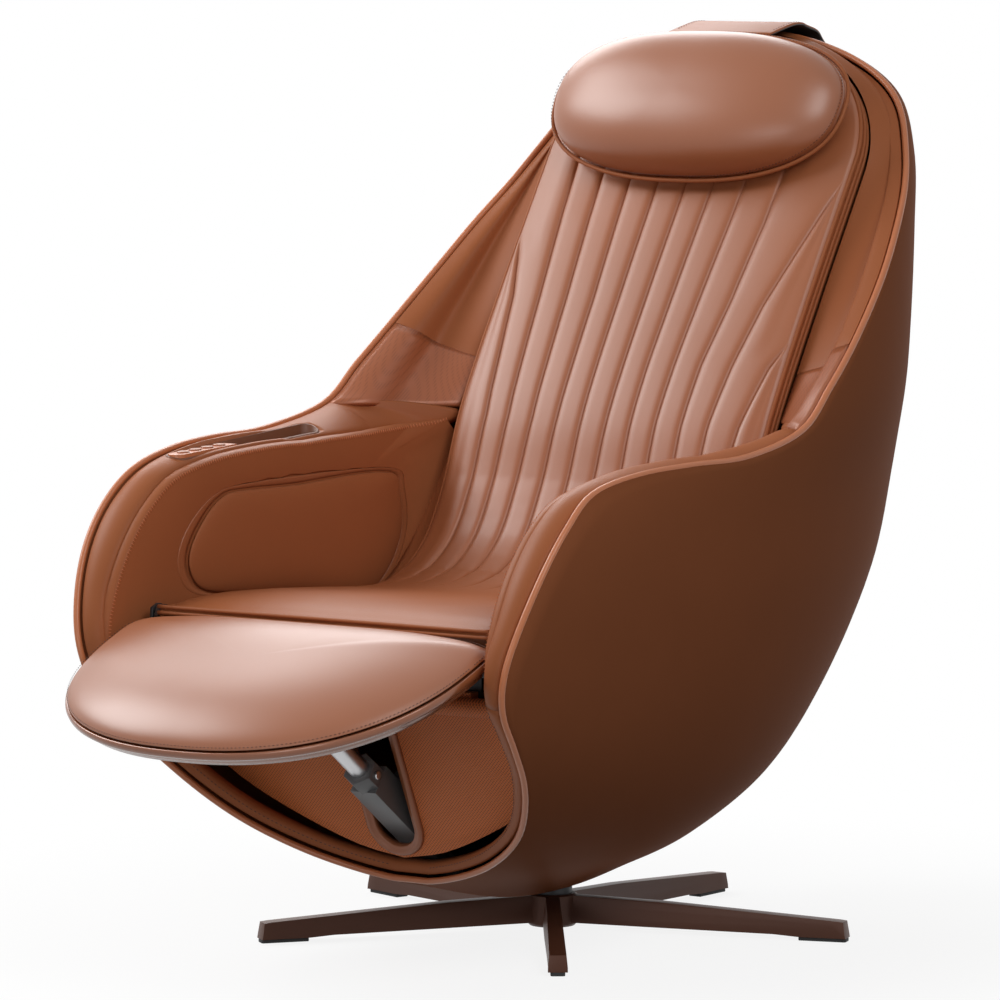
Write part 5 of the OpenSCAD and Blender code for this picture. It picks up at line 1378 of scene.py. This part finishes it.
def build_leg_rest():
    middle = np.array((0, -0.150))
    base = rest_outline(-0.004) - middle
    levels = []
    for k in range(REST_RINGS):
        a = math.pi / 2 * k / REST_RINGS
        height = REST_FOOT + REST_SWELL * math.sin(a) ** 0.9
        levels.append(np.column_stack([base * math.cos(a) ** 0.62 + middle, np.full(len(base), height)]))
    low, high = [on_rest(np.array((*middle, z))) for z in (REST_FOOT, REST_FOOT + REST_SWELL)]
    soft = closed_cushion("leg_cushion", on_rest(np.array(levels)), low, high, finish_of("soft_leather"))
    inflate(soft, 3.0, 0.005, pinned=lambda p: rest_height(p) < 0.006)
    subdivided(soft)
    dress(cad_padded(soft), "leg_rest_cushion")
    rings = []
    for grow, z in ((-0.060, 0.0002), (-0.005, 0.0002), (-0.0034, 0.0012), (-0.0022, 0.0), (-0.0014, -0.003),
                    (-0.002, -0.0068), (-0.004, -0.009), (-0.007, -0.0098), (-0.009, -0.013),
                    (-0.013, -0.019), (-0.022, -0.0218), (-0.060, -0.022)):
        rings.append(np.column_stack([rest_outline(grow), np.full(REST_POINTS, z)]))
    tray = loft("leg_tray", on_rest(np.array(rings)), finish_of("tray"))
    cut(tray, block("clevis well", (-0.022, -0.14, -0.03), (0.022, -0.05, -0.0102), on_rest))
    dress(tray, "leg_rest_tray")
    seam = np.column_stack([rest_outline(-0.0055), np.full(REST_POINTS, 0.0065)])
    sewn("leg_stitches", [on_rest(seam)], "leg_rest", radius=0.0005, length=0.003, pitch=0.005)


def rest_height(p):
    """Height of points over the leg rest's own plane."""
    a = sizes().rest_slope
    return -(p[:, 1] - REST_HINGE[0]) * math.sin(a) + (p[:, 2] - REST_HINGE[1]) * math.cos(a)


PANEL_LEAN, PANEL_FOOT = math.atan(0.443), (-0.308, 0.139)
SLOT_HALF, SLOT_LOW, SLOT_HIGH = 0.027, 0.135, 0.328


def on_panel(p):
    """From the front panel's own axes, x across, y up it and z out of it, to the chair's."""
    y, z = p[..., 1], p[..., 2]
    return np.stack([p[..., 0], PANEL_FOOT[0] - y * math.sin(PANEL_LEAN) - z * math.cos(PANEL_LEAN),
                     PANEL_FOOT[1] + y * math.cos(PANEL_LEAN) - z * math.sin(PANEL_LEAN)], -1)


def stadium(half, low, high, count=64):
    a = np.linspace(0, math.pi, count // 2)
    top = np.stack([half * np.cos(a), high - half + half * np.sin(a)], 1)
    foot = np.stack([-half * np.cos(a), low + half - half * np.sin(a)], 1)
    return np.concatenate([top, foot])


def build_front():
    eased("front_mesh_panel", "front_panel", 0.0015, finish_of("fabric"))
    low, high = [(z - PANEL_FOOT[1]) / math.cos(PANEL_LEAN) for z in (SLOT_LOW, SLOT_HIGH)]
    rings = []
    for grow, z in ((0.0127, -0.006), (0.0127, 0.0005), (0.011, 0.0045), (0.008, 0.0055), (0.005, 0.0045),
                    (0.0035, 0.002),
                    (0.0015, 0.0025), (0.0004, 0.0015), (0.0, -0.001), (0.0, -0.006)):
        ring = stadium(SLOT_HALF + grow, low - grow, high + grow)
        rings.append(np.column_stack([ring, np.full(len(ring), z)]))
    dress(loft("slot_bezel", on_panel(np.array(rings)), finish_of("trim"), closed=True), "slot_rim_trim")


def build_controls():
    # The control recess takes the darkened lining, which is painted shade.
    for node, name, width, finish in (("control_tray", "recess_tray", 0.0006, "hollow"),
                                      ("control_panel", "control_strip", 0.0006, "control"),
                                      ("power_button", "key_power", 0.0012, "trim"),
                                      ("program_button", "key_program", 0.0012, "trim"),
                                      ("strength_button", "key_strength", 0.0012, "trim"),
                                      ("heat_button", "key_heat", 0.0012, "trim"),
                                      ("rear_cover", "rear_panel", 0.0006, "graphite"),
                                      ("power_switch", "mains_rocker", 0.0006, "red")):
        made = eased(node, name, width, finish_of(finish))
        if node == "control_tray":
            flush(made)


FLUSH_LIFT = 0.0006             # how far the recess may stand above the padding


def flush(made):
    """Trims the recess's upper edge to the padding round it, felt for on the other arm."""
    pad_top = BVHTree.FromObject(bpy.data.objects["left_band"], bpy.context.evaluated_depsgraph_get())
    for v in made.data.vertices:
        hit = pad_top.ray_cast(Vector((-v.co.x, v.co.y, 0.8)), Vector((0, 0, -1)))[0]
        if hit and v.co.z > hit.z + FLUSH_LIFT:
            v.co.z = hit.z + FLUSH_LIFT


def build_actuator():
    for node, name, width, finish in (("actuator_housing", "actuator_case", 0.0018, "grey"),
                                      ("collar_screws", "collar_bolts", 0.0008, "zinc"),
                                      ("leg_rest_arms", "rest_bracket", 0.0008, "steel")):
        made = eased(node, name, width, finish_of(finish))


def build_base():
    made = eased("star_base", "star", 0.0012, finish_of("paint"), 3)
    made = eased("foot_glides", "glides", 0.0008, finish_of("rubber"))


PLAIN = {
    "lower_bearing_race": "zinc", "bearing_balls": "zinc", "upper_bearing_race": "zinc",
    "swivel_spindle": "steel",
    "spindle_nut": "zinc", "swivel_plate": "steel", "plate_bolts": "zinc", "under_frame": "steel",
    # The hinge brackets and pins take the near-black shadow lining: painted shade where they sit.
    "rear_cover_screws": "zinc", "seat_pan": "graphite", "hinge_brackets": "painted_shade", "hinge_pins": "painted_shade",
    "actuator_bracket": "steel", "carriage_rails": "silver", "control_box": "grey", "air_pump": "grey",
    "power_inlet": "graphite", "clevis_pin": "zinc", "actuator_tube": "silver", "massage_carriage": "steel",
    "carriage_motors": "grey", "left_massage_arm": "ivory", "right_massage_arm": "ivory",
    "left_upper_roller": "ivory", "left_lower_roller": "ivory", "right_upper_roller": "ivory",
    "right_lower_roller": "ivory",
}


def build_works():
    """Finishes for the parts whose frame shape is right as it is."""
    for node, finish in PLAIN.items():
        made = frame["nodes"][node]
        made.data.materials.clear()
        made.data.materials.append(finish_of(finish))


STAGE_AIM = Vector((0, -0.05, 0.5))
# Name, direction from the chair, distance, size and watts
LAMPS = (
    ("Key softbox", (-0.74, -0.30, 0.60), 2.8, (1.8, 1.2), 52),
    ("Side fill", (0.85, -0.42, 0.74), 3.5, (1.6, 1.6), 42),
    ("Front fill", (0.22, -1.0, 0.10), 3.2, (1.4, 1.0), 14),
    ("Back softbox", (-0.58, 0.57, 0.57), 3.2, (2.2, 1.2), 38),
)
CAMERA_AIM = Vector((-0.0509, -0.0362, 0.5144))
CAMERA_TURN, CAMERA_PITCH, CAMERA_FAR = math.radians(35.4), math.radians(5.22), 8.1
CAMERA_SENSOR, CAMERA_LENS, CAMERA_CLIP = 36, 244.8, 200
FLOOR_HALF = 40
SHADOW_RUN, SHADOW_SHARE = (0.40, 1.1), 0.86    # where the floor's shadow fades, and how white it starts


def area_light(name, towards, distance, size, watts):
    lamp = bpy.data.lights.new(name, "AREA")
    lamp.shape, lamp.size, lamp.size_y = "RECTANGLE", *size
    lamp.energy = watts
    made = bpy.data.objects.new(name, lamp)
    made.location = STAGE_AIM + Vector(towards).normalized() * distance
    made.rotation_euler = (STAGE_AIM - made.location).to_track_quat("-Z", "Y").to_euler()
    bpy.context.scene.collection.objects.link(made)


def shown_rays(tree):
    """1 for the rays that show the backdrop: from the camera, or by a reflection or through glass."""
    ray = tree.nodes.new("ShaderNodeLightPath")
    out = ray.outputs["Is Camera Ray"]
    for key in ("Is Glossy Ray", "Is Transmission Ray"):
        top = linked(tree, "ShaderNodeMath", operation="MAXIMUM")
        tree.links.new(out, top.inputs[0])
        tree.links.new(ray.outputs[key], top.inputs[1])
        out = top.outputs[0]
    return out


def set_camera(scene):
    camera = bpy.data.objects.new("Camera", bpy.data.cameras.new("Camera"))
    scene.collection.objects.link(camera)
    level = math.cos(CAMERA_PITCH)
    away = Vector((math.sin(CAMERA_TURN) * level, -math.cos(CAMERA_TURN) * level, math.sin(CAMERA_PITCH)))
    camera.location = CAMERA_AIM + CAMERA_FAR * away
    camera.rotation_euler = (CAMERA_AIM - camera.location).to_track_quat("-Z", "Y").to_euler()
    camera.data.sensor_width, camera.data.lens = CAMERA_SENSOR, CAMERA_LENS
    camera.data.clip_end = CAMERA_CLIP
    scene.camera = camera


def set_world(scene):
    """A faint warm light all round, and white for the rays that show the backdrop."""
    world = scene.world or bpy.data.worlds.new("World")
    scene.world = world
    world.use_nodes = True
    tree = world.node_tree
    tree.nodes.clear()
    out = tree.nodes.new("ShaderNodeOutputWorld")
    shade, white = tree.nodes.new("ShaderNodeBackground"), tree.nodes.new("ShaderNodeBackground")
    shade.inputs["Color"].default_value, shade.inputs["Strength"].default_value = (1, 0.98, 0.96, 1), 0.13
    white.inputs["Color"].default_value, white.inputs["Strength"].default_value = (1, 1, 1, 1), 1.0
    mix = tree.nodes.new("ShaderNodeMixShader")
    tree.links.new(shown_rays(tree), mix.inputs[0])
    tree.links.new(shade.outputs[0], mix.inputs[1])
    tree.links.new(white.outputs[0], mix.inputs[2])
    tree.links.new(mix.outputs[0], out.inputs[0])


def floor_finish():
    """Pale paper, which shows white away from the chair and keeps the shadow under it."""
    paper = bpy.data.materials.new("Pale floor")
    paper.use_nodes = True
    tree = paper.node_tree
    shader, out = tree.nodes["Principled BSDF"], tree.nodes["Material Output"]
    shader.inputs["Roughness"].default_value = 0.9
    glow = tree.nodes.new("ShaderNodeEmission")
    shown = shown_rays(tree)
    grey = linked(tree, "ShaderNodeMapRange")
    grey.inputs["To Min"].default_value, grey.inputs["To Max"].default_value = 0.2, 0.9
    tree.links.new(shown, grey.inputs["Value"])
    tree.links.new(grey.outputs["Result"], shader.inputs["Base Color"])
    place = tree.nodes.new("ShaderNodeTexCoord")
    far = linked(tree, "ShaderNodeVectorMath", operation="LENGTH")
    span = ramp(tree, far.outputs["Value"], *SHADOW_RUN, SHADOW_SHARE, 1.0)
    both = linked(tree, "ShaderNodeMath", operation="MULTIPLY")
    mix = tree.nodes.new("ShaderNodeMixShader")
    tree.links.new(place.outputs["Object"], far.inputs[0])
    tree.links.new(span, both.inputs[0])
    tree.links.new(shown, both.inputs[1])
    tree.links.new(both.outputs[0], mix.inputs[0])
    tree.links.new(shader.outputs[0], mix.inputs[1])
    tree.links.new(glow.outputs[0], mix.inputs[2])
    tree.links.new(mix.outputs[0], out.inputs["Surface"])
    return paper


def build_stage():
    scene = bpy.context.scene
    scene.view_settings.view_transform = "Standard"
    set_camera(scene)
    set_world(scene)
    corners = [(-1, -1, 0), (1, -1, 0), (1, 1, 0), (-1, 1, 0)]
    floor = piece("floor", np.array(corners) * FLOOR_HALF, [(0, 1, 2, 3)], None)
    floor.data.materials.append(floor_finish())
    for lamp in LAMPS:
        area_light(*lamp)


# ---------- operators and panel ----------
def run_for(label, text, name, builders):
    """An operator that makes one group of pieces."""
    def execute(self, context):
        for build in builders:
            build()
        return {"FINISHED"}
    return type("CHAIR_OT_" + name, (bpy.types.Operator,),
                {"bl_idname": "chair." + name, "bl_label": label, "__doc__": text, "execute": execute,
                 "bl_options": {"REGISTER", "UNDO"}})


OPERATORS = [
    run_for("Stage", "Sets up the camera, the lights and the pale floor", "stage", (build_stage,)),
    run_for("Shell", "Covers the egg-shaped shell in leather and gives it its lip", "shell", (build_shell,)),
    run_for("Arm bands", "Makes the stitched bands on the arms and round the front", "arms", (build_arms,)),
    run_for("Wings", "Makes the hollow wings beside the head and their mesh inserts", "wings",
            (build_wings,)),
    run_for("Side panels", "Makes the inner walls of the arms with their air cushions", "sides",
            (build_sides, build_fillers)),
    run_for("Seat", "Makes the channelled seat and back cushion with its piping", "seat", (build_seat,)),
    run_for("Headrest", "Makes the headrest pillow and the strap that holds it", "headrest",
            (build_headrest,)),
    run_for("Leg rest", "Makes the leg rest's cushion and its lacquered tray", "leg_rest", (build_leg_rest,)),
    run_for("Front panel", "Makes the perforated panel and the rim of the actuator's slot", "front",
            (build_front,)),
    run_for("Controls", "Makes the control recess, its keys and the rear panel", "controls",
            (build_controls,)),
    run_for("Actuator", "Eases the edges of the leg rest's actuator and bracket", "actuator",
            (build_actuator,)),
    run_for("Star base", "Paints the five-legged base and its glides", "base", (build_base,)),
    run_for("Works", "Gives the frame, the swivel and the massage unit their finishes", "works",
            (build_works,)),
]


class CHAIR_PT_pieces(bpy.types.Panel):
    """Lists the chair's groups of pieces"""
    bl_label = "Massage chair"
    bl_idname = "CHAIR_PT_pieces"
    bl_space_type = "VIEW_3D"
    bl_region_type = "UI"
    bl_category = "Chair"

    def draw(self, context):
        for kind in OPERATORS:
            self.layout.operator(kind.bl_idname)
        for group in (context.scene.chair_sizes, context.scene.chair_colours):
            box = self.layout.box()
            for key in group.bl_rna.properties.keys():
                if key not in ("rna_type", "name"):
                    box.prop(group, key)


CLASSES = [ChairSizes, ChairColours, *OPERATORS, CHAIR_PT_pieces]


def register():
    for kind in CLASSES:
        bpy.utils.register_class(kind)
    bpy.types.Scene.chair_sizes = PointerProperty(type=ChairSizes)
    bpy.types.Scene.chair_colours = PointerProperty(type=ChairColours)


def unregister():
    del bpy.types.Scene.chair_colours
    del bpy.types.Scene.chair_sizes
    for kind in reversed(CLASSES):
        bpy.utils.unregister_class(kind)


def main():
    register()
    for kind in OPERATORS:
        getattr(bpy.ops.chair, kind.bl_idname.split(".")[1])()


if __name__ == "__main__":
    main()
